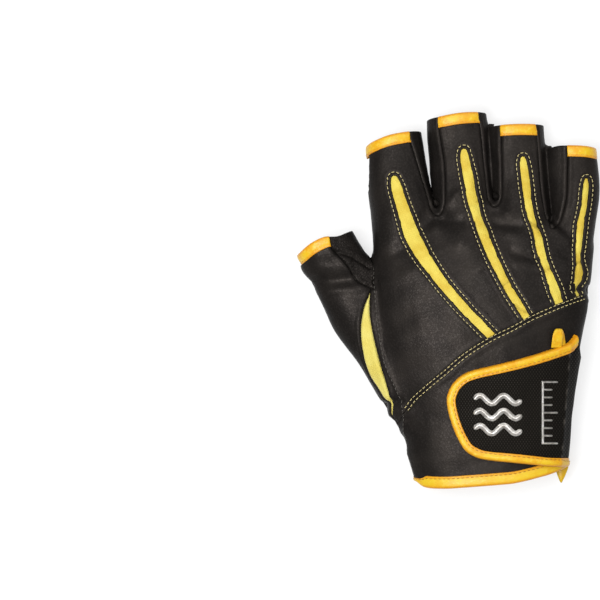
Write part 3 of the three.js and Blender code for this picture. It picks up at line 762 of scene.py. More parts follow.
    def with_lip(self, inward: Array, depth: Array | float) -> "Sheet":
        """Turns the free edges inwards, so that the sheet shows its thickness.

        Args:
            inward: Direction of the turned edge at each corner.
            depth: Its depth, one value or one a corner.

        Returns:
            The sheet with the turned edges.
        """
        total = len(self.points)
        edges = np.vstack([self.faces[:, [0, 1]], self.faces[:, [1, 2]], self.faces[:, [2, 0]]])
        keys = edges.min(1) * (total + 1) + edges.max(1)
        _, index, count = np.unique(keys, return_index=True, return_counts=True)
        edges = edges[index[count == 1]]  # those that only one face uses
        used, numbers = np.unique(edges, return_inverse=True)
        (a, b), (c, d) = edges.T, (numbers.reshape(-1, 2) + total).T
        new = self.points[used] + inward[used] * np.broadcast_to(depth, total)[used, None]
        faces = np.vstack([self.faces, np.column_stack([b, a, c]), np.column_stack([b, c, d])])
        return Sheet(np.vstack([self.points, new]), faces)


class Region:
    """A closed outline in the plane of the table."""

    REACH = 6.0
    SCAN = 4.0  # spacing of the coarse points that find what lies near the outline
    BLOCK = 4000

    def __init__(self, *lines: Array | Points2) -> None:
        """Joins lines, in order round the region, into one outline."""
        outline = np.vstack([np.array(line, float) for line in lines])
        self.outline = outline[np.linalg.norm(outline - np.roll(outline, 1, axis=0), axis=1) > 1e-4]

    def signed(self, points: Array) -> Array:
        """Plan distance to the outline, positive inside, cut off at REACH.

        Args:
            points: Places, of which x and y count.

        Returns:
            One distance a point.
        """
        xy = points[:, :2]
        closed = np.vstack([self.outline, self.outline[:1]])
        near = np.full(len(xy), False)
        for spot in Path.spaced(closed, self.SCAN):
            near |= np.all(np.abs(xy - spot) < self.REACH + 3.0, axis=1)
        result = np.full(len(xy), self.REACH)
        index = np.flatnonzero(near)
        start, along = closed[:-1], np.diff(closed, axis=0)
        length = np.maximum(np.sum(along**2, axis=1), 1e-9)
        for block in np.array_split(index, max(len(index) // self.BLOCK, 1)):
            to = xy[block][:, None] - start[None]
            t = np.clip(np.sum(to * along, axis=2) / length, 0.0, 1.0)
            gap = np.sum((to - t[..., None] * along) ** 2, axis=2)
            result[block] = np.minimum(np.sqrt(gap.min(1)), self.REACH)
        return np.where(inside(self.outline, xy), result, -result)


class Seamline:
    """Lines in space that were cut, to measure distances from."""

    REACH = 5.0

    def __init__(self, segments: Sequence[Array]) -> None:
        """Samples the lines densely.

        Args:
            segments: Arrays of short segments, each with two ends.
        """
        every = np.concatenate([s for s in segments if len(s)]) if segments else np.zeros((0, 2, 3))
        t = np.linspace(0.0, 1.0, 4, endpoint=False)[None, :, None]
        self.samples = (every[:, :1] * (1 - t) + every[:, 1:] * t).reshape(-1, 3)
        self.tree = KDTree(len(self.samples))
        for i, spot in enumerate(self.samples):
            self.tree.insert(spot, i)
        self.tree.balance()
        self.cells = {tuple(c) for c in np.unique(np.floor(self.samples / self.REACH).astype(int), axis=0)}

    def distance(self, points: Array) -> Array:
        """Distance from each point to the nearest line, cut off at REACH.

        Args:
            points: Places, one a row.

        Returns:
            One distance a point.
        """
        result = np.full(len(points), self.REACH)
        if len(self.samples) == 0:
            return result
        keys, back = np.unique(np.floor(points / self.REACH).astype(int), axis=0, return_inverse=True)
        around = np.stack(np.meshgrid(*[(-1, 0, 1)] * 3), axis=-1).reshape(-1, 3)
        near = np.array([any(tuple(cell) in self.cells for cell in key + around) for key in keys])
        for n in np.flatnonzero(near[back.reshape(-1)]):
            result[n] = min(self.tree.find(points[n])[2], self.REACH)
        return result


class Seam(Enum):
    """Kinds of line between two pieces, with the height of the leather at distances from it."""

    SEWN = ((0.0, -0.95), (0.15, -0.5), (0.4, -0.12), (0.8, 0.14), (1.4, 0.24), (2.0, 0.16), (3.0, 0.0))
    SLOT = (
        (0.0, -0.62), (0.12, -0.22), (0.3, 0.06), (0.6, 0.18), (1.0, 0.14), (1.35, 0.0), (1.65, -0.1),
        (2.0, 0.0), (2.7, 0.13), (4.0, 0.0),
    )
    FELLED = ((0.0, -0.34), (0.12, -0.12), (0.35, 0.04), (0.85, -0.1), (1.3, 0.08), (2.0, 0.18), (3.8, 0.0))
    OPEN = ((0.0, -0.5), (0.15, -0.18), (0.5, 0.0))
    HIDDEN = ((0.0, 0.0), (1.0, 0.0))

    @property
    def rows(self) -> list[float]:
        """Distances at which the profile bends."""
        return [d for d, _ in self.value[1:]]

    def height(self, distance: Array) -> Array:
        """Height of the leather at a distance from the line."""
        return np.interp(distance, *np.array(self.value).T)


SHOWN_SEAMS = (Seam.SEWN, Seam.SLOT, Seam.FELLED, Seam.OPEN)


def cut_back(depth: Array) -> Array:
    """How far an open end is cut back below its top: little on the back, more towards the palm."""
    return 0.03 * depth + 0.8 * np.maximum(depth - 13.0, 0.0)


def end_field(points: Array) -> Array:
    """How far points lie past the open ends of the fingers and the thumb, in millimetres.

    Args:
        points: Places on the skin.

    Returns:
        One distance a point, negative short of the ends.
    """
    x, y, z = points.T
    past = np.full(len(points), -99.0)
    for name, (low, high) in FINGER_SPANS.items():
        here = (x > low) & (x <= high) & (y > FINGER_ZONE)
        ends = Path(FINGER_ENDS[name]).height_at(x[here])
        past[here] = y[here] + cut_back(FINGERS[name][-2][3] - z[here]) - ends
    tx, ty = to_thumb(x, y)
    here = (x < THUMB_ZONE[0]) & (ty > THUMB_ZONE[1])
    past[here] = ty[here] + cut_back(THUMB[-1][3] - z[here]) - Path(THUMB_END).height_at(tx[here])
    return past


def cuff_field(points: Array) -> Array:
    """How far points lie past the wrist, in millimetres."""
    return Path(CUFF_END).height_at(points[:, 0]) - points[:, 1]


def cuff_taper(points: Array) -> Array:
    """Share of the cuff binding's full width: it narrows at the thumb side of the wrist."""
    return 1.0 - 0.75 * smooth_step(23.0, 28.4, -points[:, 0]) * smooth_step(2.0, 8.0, points[:, 2])


@dataclass
class Pattern:
    """The lines that cut the skin into its pieces."""

    trim_cover: float = 4.7
    cuff_cover: float = 5.0
    stripe_tuck: float = 0.9  # how far a stripe's cloth reaches under the leather
    far: float = 130.0
    lines: dict[str, Array] = field(default_factory=dict)
    regions: dict[str, Region] = field(default_factory=dict)
    seams: dict[Seam, list[Array]] = field(default_factory=lambda: {kind: [] for kind in Seam})

    def __post_init__(self) -> None:
        """Draws every line and outline once."""
        far = self.far
        self.lines = {name: Path(points).xy for name, points in (SEAM_LINES | GUSSET_SEAMS).items()}
        line = self.lines
        thumb_side = line["thumb"][(line["thumb"][:, 1] > -51.4) & (line["thumb"][:, 1] < 4.2)]
        self.regions = {name: Region(line[name]) for name in GUSSET_SEAMS} | {
            "thumb_inner": Region(line["thumb_inner"], Path(SEAM_LINES["thumb"][4::-1]).xy),
            "hand_side": Region(line["thumb"], ((-33, -far), (far, -far), (far, far), (-50, far))),
            "crescent": Region(line["crescent"], thumb_side[::-1]),
            "above_diagonal": Region(line["diagonal"], ((far, 4), (far, far), (-far, far), (-far, -54))),
            "above_fingers": Region(line["finger_front"], ((far, 31), (far, far), (-far, far), (-far, 43))),
            "above_patch": Region(line["patch"], ((far, -39), (far, far), (-far, far), (-far, 19))),
            "thumb_front": Region(line["arc"], ((-far, -60), (-far, far), (-54, far))),
            "strap": Region(line["strap"], ((far, -74), (far, -8))),
        }

    @staticmethod
    def stripe_outline(rows: Sequence[tuple[float, float, float]], grow: float) -> Array:
        """Outline of a stripe's slot, round at its upper end and run on past its lower end.

        Args:
            rows: x, y and half width down the stripe.
            grow: How much wider the outline is than the stripe.

        Returns:
            The outline's points.
        """
        table = np.array(rows, float)
        ahead = (table[-1] - table[-2]) / np.linalg.norm((table[-1] - table[-2])[:2]) * 5.0
        table = np.vstack([table, table[-1] + ahead * (1, 1, 0)])
        middle = Path(table[:, :2]).xy
        half = np.interp(-middle[:, 1], -table[:, 1], table[:, 2]) + grow
        run = np.arange(len(middle)) * Path.STEP
        uneven = 0.03 if grow < 1.0 else 0.0  # the slot is cut unevenly, the stitches run smoothly
        first = table[0, 0]
        waves = []
        for k in (0.0, 1.7):
            wave = uneven * (np.sin(run * 1.45 + first + k) + np.sin(run * 0.61 + 2 * k) + np.sin(run * 0.27 + k))
            for nick in range(1, 5):
                place = run[-1] * (0.16 + 0.78 * ((nick * 0.381 + first * 0.137 + k * 0.29) % 1.0))
                wave = wave - uneven * (7 + 3 * (nick % 3)) * bell(run - place, 0.45 + 0.12 * nick)
            waves.append(wave)
        left, right = Path.beside(middle, half + waves[0]), Path.beside(middle, -half - waves[1])
        along, across = unit(middle[0] - middle[2]), unit(right[0] - left[0])
        tall = half[0] * 0.8 + 0.25 * grow
        turn = np.linspace(0.0, np.pi, 9)[1:-1]
        cap = [middle[0] + across * half[0] * np.cos(t) + along * tall * np.sin(t) for t in turn]
        return np.vstack([left[::-1], cap[::-1], right])

    def stripe_field(self, name: str, points: Array, grow: float = 0.0) -> Array:
        """Positive inside a stripe's slot, which stops at the diagonal seam."""
        slot = Region(self.stripe_outline(STRIPES[name], grow)).signed(points)
        return np.minimum(slot, self.regions["above_diagonal"].signed(points) - 1.15 + grow)

    def cut(self, skin: Sheet, keep: bool) -> dict[str, Sheet]:
        """Cuts a skin into its pieces.

        Args:
            skin: The whole closed skin.
            keep: Whether the cuts are kept as seams.

        Returns:
            The pieces by name.
        """

        def split(sheet: Sheet, values: Array, kind: Seam = Seam.SEWN) -> tuple[Sheet, Sheet]:
            """Splits a sheet and keeps the line.

            Args:
                sheet: The sheet.
                values: One value a corner.
                kind: What the line is.

            Returns:
                The positive side and the negative side.
            """
            yes, no, segments = sheet.split(values)
            if keep:
                self.seams[kind].append(segments)
            return yes, no

        def parted(sheet: Sheet, name: str, kind: Seam = Seam.SEWN) -> tuple[Sheet, Sheet]:
            """Splits a sheet at a region's outline."""
            return split(sheet, self.regions[name].signed(sheet.points), kind)

        pieces: dict[str, Sheet] = {}
        _, skin = split(skin, end_field(skin.points), Seam.OPEN)
        cover = self.cuff_cover * cuff_taper(skin.points) - 0.2
        _, skin = split(skin, cuff_field(skin.points) + cover, Seam.HIDDEN)
        inner, skin = parted(skin, "thumb_inner")
        upper, lower = split(skin, skin.points[:, 2] - SIDE_SEAM_Z)
        for name in GUSSET_SEAMS:
            pieces[name], upper = parted(upper, name)
        _, upper = split(upper, end_field(upper.points) + self.trim_cover, Seam.HIDDEN)
        hand, thumb = parted(upper, "hand_side")
        pieces["thumb_gusset"], pieces["thumb_back"] = parted(thumb, "crescent")
        back, pieces["wrist_panel"] = parted(hand, "above_diagonal", Seam.FELLED)
        for name in STRIPES:
            if keep:
                pieces[name] = back.split(self.stripe_field(name, back.points, self.stripe_tuck))[0]
            _, back = split(back, self.stripe_field(name, back.points), Seam.SLOT)
        pieces["back_panel"] = back
        front, lower = parted(lower, "thumb_front")
        pieces["thumb_front"] = Sheet.gathered([front, inner])
        pieces["palm_fingers"], lower = parted(lower, "above_fingers")
        pieces["palm_grip"], pieces["palm_heel"] = parted(lower, "above_patch")
        return pieces


def linear(red: int, green: int, blue: int) -> Colour:
    """Turns a screen colour, 0 to 255, as seen in the studio, into a surface colour."""
    shares = (value / 255 for value in (red, green, blue))
    return tuple((s / 12.92 if s <= 0.04045 else ((s + 0.055) / 1.055) ** 2.4) / LIGHT for s in shares)


def tint(colour: Colour, by: float) -> Colour:
    """A colour made lighter or darker."""
    return tuple(c * by for c in colour)


def operation(name: str, turned: bool = False) -> Callable[["Value", "Value | float"], "Value"]:
    """Makes an operator that adds a Math node.

    Args:
        name: Blender's name of the operation.
        turned: Whether the other operand stands first.

    Returns:
        The operator.
    """

    def apply(value: "Value", other: "Value | float") -> "Value":
        """Adds the node."""
        operands = (other, value) if turned else (value, other)
        return value.nodes.node("ShaderNodeMath", {"operation": name}, dict(enumerate(operands)))

    return apply


class Value:
    """A node's output that can be used in arithmetic."""

    __add__ = __radd__ = operation("ADD")
    __mul__ = __rmul__ = operation("MULTIPLY")
    __sub__ = operation("SUBTRACT")
    __rsub__ = operation("SUBTRACT", turned=True)
    larger = operation("MAXIMUM")

    def __init__(self, nodes: "Nodes", socket: bpy.types.NodeSocket) -> None:
        """Wraps a socket of a tree."""
        self.nodes = nodes
        self.socket = socket

    def rise(self, low: float, high: float) -> "Value":
        """Goes smoothly from 0 at `low` to 1 at `high`."""
        return self.mapped((low, high, 0.0, 1.0), {"interpolation_type": "SMOOTHSTEP"})

    def mapped(self, values: Sequence[float], settings: dict | None = None) -> "Value":
        """Maps a range, given as two values, on the range between two more."""
        return self.nodes.node("ShaderNodeMapRange", settings, {0: self} | dict(enumerate(values, 1)))


class Nodes:
    """Adds nodes to one tree."""

    def __init__(self, tree: bpy.types.NodeTree) -> None:
        """Keeps the tree."""
        self.tree = tree

    def node(
        self, kind: str, settings: dict | None = None, inputs: dict | None = None, output: int | str = 0
    ) -> Value:
        """Adds a node.

        Args:
            kind: Blender's type of node.
            settings: Its properties, set first.
            inputs: Values or links of its sockets, by name or number.
            output: Which output is wanted.

        Returns:
            That output.
        """
        node = self.tree.nodes.new(kind)
        for key, value in (settings or {}).items():
            setattr(node, key, value)
        for key, value in (inputs or {}).items():
            self.feed(node.inputs[key], value)
        return Value(self, node.outputs[output])

    def feed(self, socket: bpy.types.NodeSocket, value: "Value | float | Sequence[float]") -> None:
        """Sets a socket or links it.

        Args:
            socket: The socket.
            value: A node's output to link, or a plain value to set.
        """
        if isinstance(value, Value):
            self.tree.links.new(value.socket, socket)
        else:
            socket.default_value = (*value, 1.0) if socket.type == "RGBA" else value


class Recipe(Nodes):
    """Builds the nodes of one material."""

    def __init__(self, name: str) -> None:
        """Starts an empty material with its shader.

        Args:
            name: The material's name.
        """
        self.material = bpy.data.materials.new(name)
        self.material.use_nodes = True
        super().__init__(self.material.node_tree)
        self.tree.nodes.clear()
        self.shader = self.tree.nodes.new("ShaderNodeBsdfPrincipled")
        output = self.tree.nodes.new("ShaderNodeOutputMaterial")
        self.tree.links.new(self.shader.outputs[0], output.inputs[0])

    def place(self, turn: float = 0.0) -> Value:
        """The point's place on the glove in millimetres."""
        inputs = {"Vector": self.node("ShaderNodeTexCoord", output="Object"), "Scale": (1 / MM,) * 3}
        return self.node("ShaderNodeMapping", {}, inputs | {"Rotation": (0.0, 0.0, turn)})

    def noise(self, size: float, detail: float = 2.0, rough: float = 0.5) -> Value:
        """Cloudy noise from 0 to 1, with bumps of a size in millimetres."""
        inputs = {"Vector": self.place(), "Scale": 1.0 / size, "Detail": detail, "Roughness": rough}
        return self.node("ShaderNodeTexNoise", {}, inputs, "Fac")

    def cells(self, size: float, feature: str = "F1", random: float = 1.0) -> Value:
        """Distance inside cells of a size in millimetres."""
        inputs = {"Vector": self.place(), "Scale": 1.0 / size, "Randomness": random}
        return self.node("ShaderNodeTexVoronoi", {"feature": feature}, inputs, "Distance")

    def bands(self, way: str, turn: float, scale: float, distortion: float, detail_scale: float = 1.0) -> Value:
        """Even bands, as threads and ribs make them.

        Args:
            way: The axis across the bands.
            turn: How far the pattern is turned.
            scale: How close the bands lie.
            distortion: How uneven they are.
            detail_scale: Fineness of the unevenness.

        Returns:
            A value from 0 to 1.
        """
        inputs = {"Vector": self.place(turn), "Scale": scale, "Distortion": distortion}
        inputs |= {"Detail": 1.0, "Detail Scale": detail_scale}
        return self.node("ShaderNodeTexWave", {"bands_direction": way}, inputs, "Fac")

    def mix(self, factor: Value, low: "Value | Colour", high: "Value | Colour") -> Value:
        """Mixes two colours."""
        return self.node("ShaderNodeMix", {"data_type": "RGBA"}, {0: factor, 6: low, 7: high}, 2)

    def seam(self, low: float, high: float) -> Value:
        """Goes from 1 at the nearest seam to 0 away from it, between two distances."""
        return 1 - self.node("ShaderNodeAttribute", {"attribute_name": "seam"}, output="Fac").rise(low, high)

    def bump(self, height: Value, depth: float) -> None:
        """Feeds the shader's normal from a height of 0 to 1 that stands for a depth in millimetres."""
        inputs = {"Height": height, "Distance": depth * MM, "Strength": 1.0}
        self.feed(self.shader.inputs["Normal"], self.node("ShaderNodeBump", {}, inputs))

    def finish(self, **sockets: "Value | float | Sequence[float]") -> Material:
        """Sets the shader's sockets, with spaces in their names written as underscores.

        Args:
            **sockets: Outputs or plain values.

        Returns:
            The material.
        """
        for name, value in sockets.items():
            self.feed(self.shader.inputs[name.replace("_", " ")], value)
        return self.material


@dataclass(frozen=True)
class Leather:
    """Soft synthetic leather with a fine pebble grain."""

    name: str
    base: Colour
    light: Colour
    grain: float = 0.8
    depth: float = 0.05
    roughness: float = 0.39
    emboss: float = 0.0

    def build(self) -> Material:
        """Builds the material.

        Returns:
            The material.
        """
        r = Recipe(self.name)
        warp = r.noise(3.0)
        pebble = r.cells(self.grain, "SMOOTH_F1")
        fine = r.noise(0.45, 3.0, 0.6)
        height = 1 - pebble * 1.1 + fine * 0.1
        if self.emboss:
            ring = r.cells(self.emboss, "F1", 0.12)
            height = height * 0.4 + ring.rise(0.25, 0.45) - ring.rise(0.45, 0.6)
        patch = r.noise(16.0, 3.0, 0.55)
        grain = 1 - pebble.rise(0.1, 0.5)
        colour = r.mix(patch.rise(0.35, 0.7), self.base, self.light)
        colour = r.mix(grain * 0.4, colour, tint(self.base, 2.2))
        # a pale, patchy line along the seams: partly wear, partly painted highlight on the rolled seam edges
        colour = r.mix(r.seam(0.15, 1.3) * (warp * 0.5 + 0.35) * 0.25, colour, tint(self.light, 2.0))
        # painted shade: darker right at the seam, down in the sewn groove
        colour = r.mix(r.seam(0.0, 0.3) * 0.6, colour, tint(self.base, 0.3))
        r.bump(height, self.depth)
        rough = self.roughness + (patch - 0.5) * 0.12 + (fine - 0.5) * 0.12 + (0.5 - grain) * 0.08
        return r.finish(Base_Color=colour, Roughness=rough, Metallic=0.5, Specular_IOR_Level=0.11, Specular_Tint=DIM)


@dataclass(frozen=True)
class Stretch:
    """Yellow stretch cloth with a fine knit."""

    name: str
    base: Colour
    shade: Colour
    pitch: float = 0.9

    def build(self) -> Material:
        """Builds the material.

        Returns:
            The material.
        """
        r = Recipe(self.name)
        ribs, rows = (r.bands(way, 0.35, WAVE_SCALE / self.pitch, 0.8, 2.0) for way in "XY")
        fuzz = r.noise(0.3, 3.0, 0.7)
        knit = ribs * rows * 0.7 + fuzz * 0.3
        cloud = r.noise(9.0, 3.0, 0.6)
        colour = r.mix(cloud.rise(0.32, 0.66) * 0.7 + knit * 0.3, self.shade, self.base)
        # painted shade: darker towards the stripe's edges, where the cloth sinks under the leather, and in its pinched
        # creases
        colour = r.mix(r.seam(0.0, 0.9) * 0.7, colour, tint(self.shade, 0.45))
        r.bump(knit, 0.09)
        gloss = {"Specular_IOR_Level": 0.3, "Sheen_Weight": 0.25, "Sheen_Roughness": 0.4}
        return r.finish(Base_Color=colour, Roughness=0.68 + (fuzz - 0.5) * 0.2, **gloss)


@dataclass(frozen=True)
class Vinyl:
    """Glossy coated binding tape."""

    name: str
    base: Colour
    deep: Colour
    light: Colour
    edge: Colour

    def build(self) -> Material:
        """Builds the material.

        Returns:
            The material.
        """
        r = Recipe(self.name)
        cloud = r.noise(5.0, 3.0, 0.6)
        wrinkle = r.noise(1.3, 3.0, 0.6)
        fine = r.noise(0.3, 2.0, 0.6)
        colour = r.mix(cloud.rise(0.3, 0.75), self.deep, self.base)
        # painted highlight: a lighter lemon tone on the crests of the wrinkles
        colour = r.mix(wrinkle.rise(0.5, 0.75) * 0.7, colour, self.light)
        # painted shade: deeper orange towards the tape's edges, where it rolls away from the light
        colour = r.mix(r.seam(0.1, 1.5) * 0.75, colour, self.edge)
        r.bump(wrinkle * 0.8 + fine * 0.2, 0.16)
        rough = 0.34 + (cloud - 0.5) * 0.2 + (fine - 0.5) * 0.15
        return r.finish(Base_Color=colour, Roughness=rough, Specular_IOR_Level=0.3)


@dataclass(frozen=True)
class Twill:
    """Black woven strap cloth with a diagonal rib."""

    name: str
    base: Colour
    light: Colour
    pitch: float = 1.05

    def build(self) -> Material:
        """Builds the material.

        Returns:
            The material.
        """
        r = Recipe(self.name)
        ribs, rows = (r.bands("X", turn, WAVE_SCALE / self.pitch, 0.2) for turn in (0.6, -0.6))
        fuzz = r.noise(0.3, 3.0, 0.7)
        cloud = r.noise(8.0)
        weave = ribs * rows
        colour = r.mix(weave.rise(0.2, 0.8) * (cloud * 0.4 + fuzz * 0.5), self.base, self.light)
        # painted highlight: a pale, broken line along the fold where the strap turns down
        fold_sheen = r.seam(0.1, 0.6) * fuzz.rise(0.35, 0.6) * cloud.rise(0.36, 0.6)
        colour = r.mix(fold_sheen, colour, tint(self.light, 3.4))
        r.bump(weave * 0.8 + fuzz * 0.2, 0.12)
        gloss = {"Metallic": 0.35, "Specular_IOR_Level": 0.08, "Specular_Tint": DIM}
        return r.finish(Base_Color=colour, Roughness=0.58 - weave * 0.16, **gloss)


@dataclass(frozen=True)
class Silver:
    """Silvered moulded trim, dull in its low places."""

    name: str
    base: Colour
    dull: Colour

    def build(self) -> Material:
        """Builds the material.

        Returns:
            The material.
        """
        r = Recipe(self.name)
        cloud = r.noise(2.2, 4.0, 0.65)
        scratch = r.noise(0.4, 3.0, 0.7)
        colour = r.mix(cloud.rise(0.35, 0.7), self.dull, self.base)
        r.bump(cloud * 0.6 + scratch * 0.4, 0.07)
        return r.finish(Base_Color=colour, Metallic=0.92, Roughness=0.24 + cloud * 0.2 + scratch * 0.12)


@dataclass(frozen=True)
class Thread:
    """Twisted sewing thread."""

    name: str
    base: Colour
    shade: Colour

    def build(self) -> Material:
        """Builds the material.

        Returns:
            The material.
        """
        r = Recipe(self.name)
        plies = r.bands("DIAGONAL", 0.8, 1.4, 0.5)
        fuzz = r.noise(0.2, 2.0, 0.6)
        colour = r.mix(plies * 0.5 + fuzz * 0.4, self.shade, self.base)
        r.bump(plies, 0.05)
        return r.finish(Base_Color=colour, Roughness=0.6 + (fuzz - 0.5) * 0.2)


BLACKS = linear(40, 37, 35), linear(49, 45, 42)
# the painted shade at the edges of the binding tape
ORANGE = linear(234, 148, 18)


class Finish(Enum):
    """Every finish of the glove, with the material slot of the record that it belongs to."""

    BACK = "back_leather", Leather("back_leather", *BLACKS)
    PALM = "palm_leather", Leather("palm_leather", *BLACKS, depth=0.12, emboss=1.5)
    GRIP = "grip_leather", Leather("grip_leather", *BLACKS, depth=0.1, roughness=0.52)
    STRETCH = "stretch_cloth", Stretch("stretch_cloth", linear(241, 222, 96), linear(220, 186, 54))
    GUSSET = "stretch_cloth", Stretch("thumb_gusset_cloth", linear(240, 228, 126), linear(228, 208, 94))
    BINDING = "binding", Vinyl(
        "binding_vinyl", linear(248, 206, 36), linear(242, 176, 22), linear(252, 224, 84), ORANGE
    )
    CUFF = "binding", Vinyl("cuff_vinyl", linear(240, 203, 36), linear(238, 187, 26), linear(247, 219, 74), ORANGE)
    TWILL = "strap_cloth", Twill("strap_twill", linear(24, 22, 19), linear(74, 70, 65))
    SILVER = "silver_trim", Silver("silver_trim", (0.96, 0.94, 0.9), (0.56, 0.53, 0.49))
    YELLOW_THREAD = "binding", Thread("yellow_thread", linear(255, 243, 184), linear(238, 214, 128))
    GREY_THREAD = "binding", Thread("grey_thread", linear(118, 112, 104), linear(66, 62, 57))
    AMBER_THREAD = "binding", Thread("amber_thread", linear(214, 142, 22), linear(168, 104, 16))


@dataclass
class Workshop:
    """Turns sheets into Blender pieces."""

    form: HandForm = field(default_factory=HandForm)
    pattern: Pattern = field(default_factory=Pattern)
    materials: dict[Finish, Material] = field(
        default_factory=lambda: {finish: finish.value[1].build() for finish in Finish}
    )
    lines: dict[Seam, Seamline] = field(default_factory=dict)
    pieces: dict[str, bpy.types.Object] = field(default_factory=dict)
    floor_gap: float = 0.02
    no_seam_distance: float = 9.0  # a distance at which no seam shows

    def seam_distance(self, points: Array) -> Array:
        """Distance to the nearest seam of the leather, in millimetres."""
        return np.min([self.lines[kind].distance(points) for kind in SHOWN_SEAMS], axis=0)

    def lifted(self, sheet: Sheet, height: Array) -> Sheet:
        """A sheet moved straight out of the body."""
        return Sheet(sheet.points + self.form.normals(sheet.points) * height[:, None], sheet.faces)

    def make(
        self,
        name: str,
        sheet: Sheet,
        finish: Finish,
        seam: Array | None = None,
        merge: float = 0.01,
        solid: bool = True,
    ) -> None:
        """Makes one piece.

        Args:
            name: Its name.
            sheet: Its triangles in millimetres.
            finish: Its finish.
            seam: Distance to the nearest seam at its first corners, or nothing where it has none; the materials paint
                shade and highlight by it.
            merge: Corners closer than this are joined.
            solid: Whether it stands for the solid of the same name.
        """
        points = sheet.points.copy()
        points[:, 2] = np.maximum(points[:, 2], self.floor_gap)
        mesh = bpy.data.meshes.new(name)
        mesh.from_pydata((points * MM).tolist(), [], sheet.faces.tolist())
        # distance to the nearest seam, by which the materials paint shade and highlight along seams, edges and the
        # strap's fold
        shading_distance = np.full(len(points), self.no_seam_distance, np.float32)
        if seam is not None:
            shading_distance[: len(seam)] = seam
        mesh.attributes.new("seam", "FLOAT", "POINT").data.foreach_set("value", shading_distance)
        work = bmesh.new()
        work.from_mesh(mesh)
        bmesh.ops.remove_doubles(work, verts=work.verts, dist=merge * MM)
        work.to_mesh(mesh)
        work.free()
        mesh.polygons.foreach_set("use_smooth", np.ones(len(mesh.polygons), bool))
        mesh.materials.append(self.materials[finish])
        piece = bpy.data.objects.new(name, mesh)
        bpy.context.scene.collection.objects.link(piece)
        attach(piece, "root")
        if solid:
            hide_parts(name)
        self.pieces[name] = piece
        log.info("%s: %d triangles", name, len(mesh.polygons))


@dataclass(frozen=True)
class Fold:
    """A soft ridge of the leather along a line on the plan, or a valley where its height is negative."""

    points: Points2
    height: float
    width: float = 2.4

    def shape(self, side: Array) -> Array:
        """Height at a distance from the line, positive on its left."""
        return self.height * bell(side, self.width)


@dataclass(frozen=True)
class Crease(Fold):
    """A crease that drops steeply on the right of its line and rises gently on its left."""

    reach: float = 2.2

    def shape(self, side: Array) -> Array:
        """Height at a distance from the line, positive on its left."""
        shoulder = np.where(side > 0, 0.0, bell(side / self.width + 3.4, 2.2))
        return self.height * (bell(side, np.where(side > 0, self.reach, self.width)) - 0.55 * shoulder)


@dataclass(frozen=True)
class Pucker:
    """The small puckered hole at the bottom of a finger gusset."""

    x: float
    y: float
    radius: float
    depth: float

    def height(self, points: Array) -> Array:
        """Height of the leather round the hole."""
        d = np.hypot(points[:, 0] - self.x, (points[:, 1] - self.y) * 0.8) / self.radius
        return smooth_step(8.0, 11.0, points[:, 2]) * (0.45 * bell(d - 1.45, 0.38) - self.depth * bell(d, 0.8))


SIDE_CREASE = Crease(
    (
        (-46.6, 17), (-46.6, 13), (-46.2, 4.4), (-45.4, -7), (-44, -17.4), (-41.8, -28.2), (-37, -39.2),
        (-34.3, -46.6), (-33.4, -55.9), (-31.7, -64.2), (-31.2, -68.6), (-29, -75.7), (-28, -79),
    ),
    0.2, 0.5, 0.8,
)


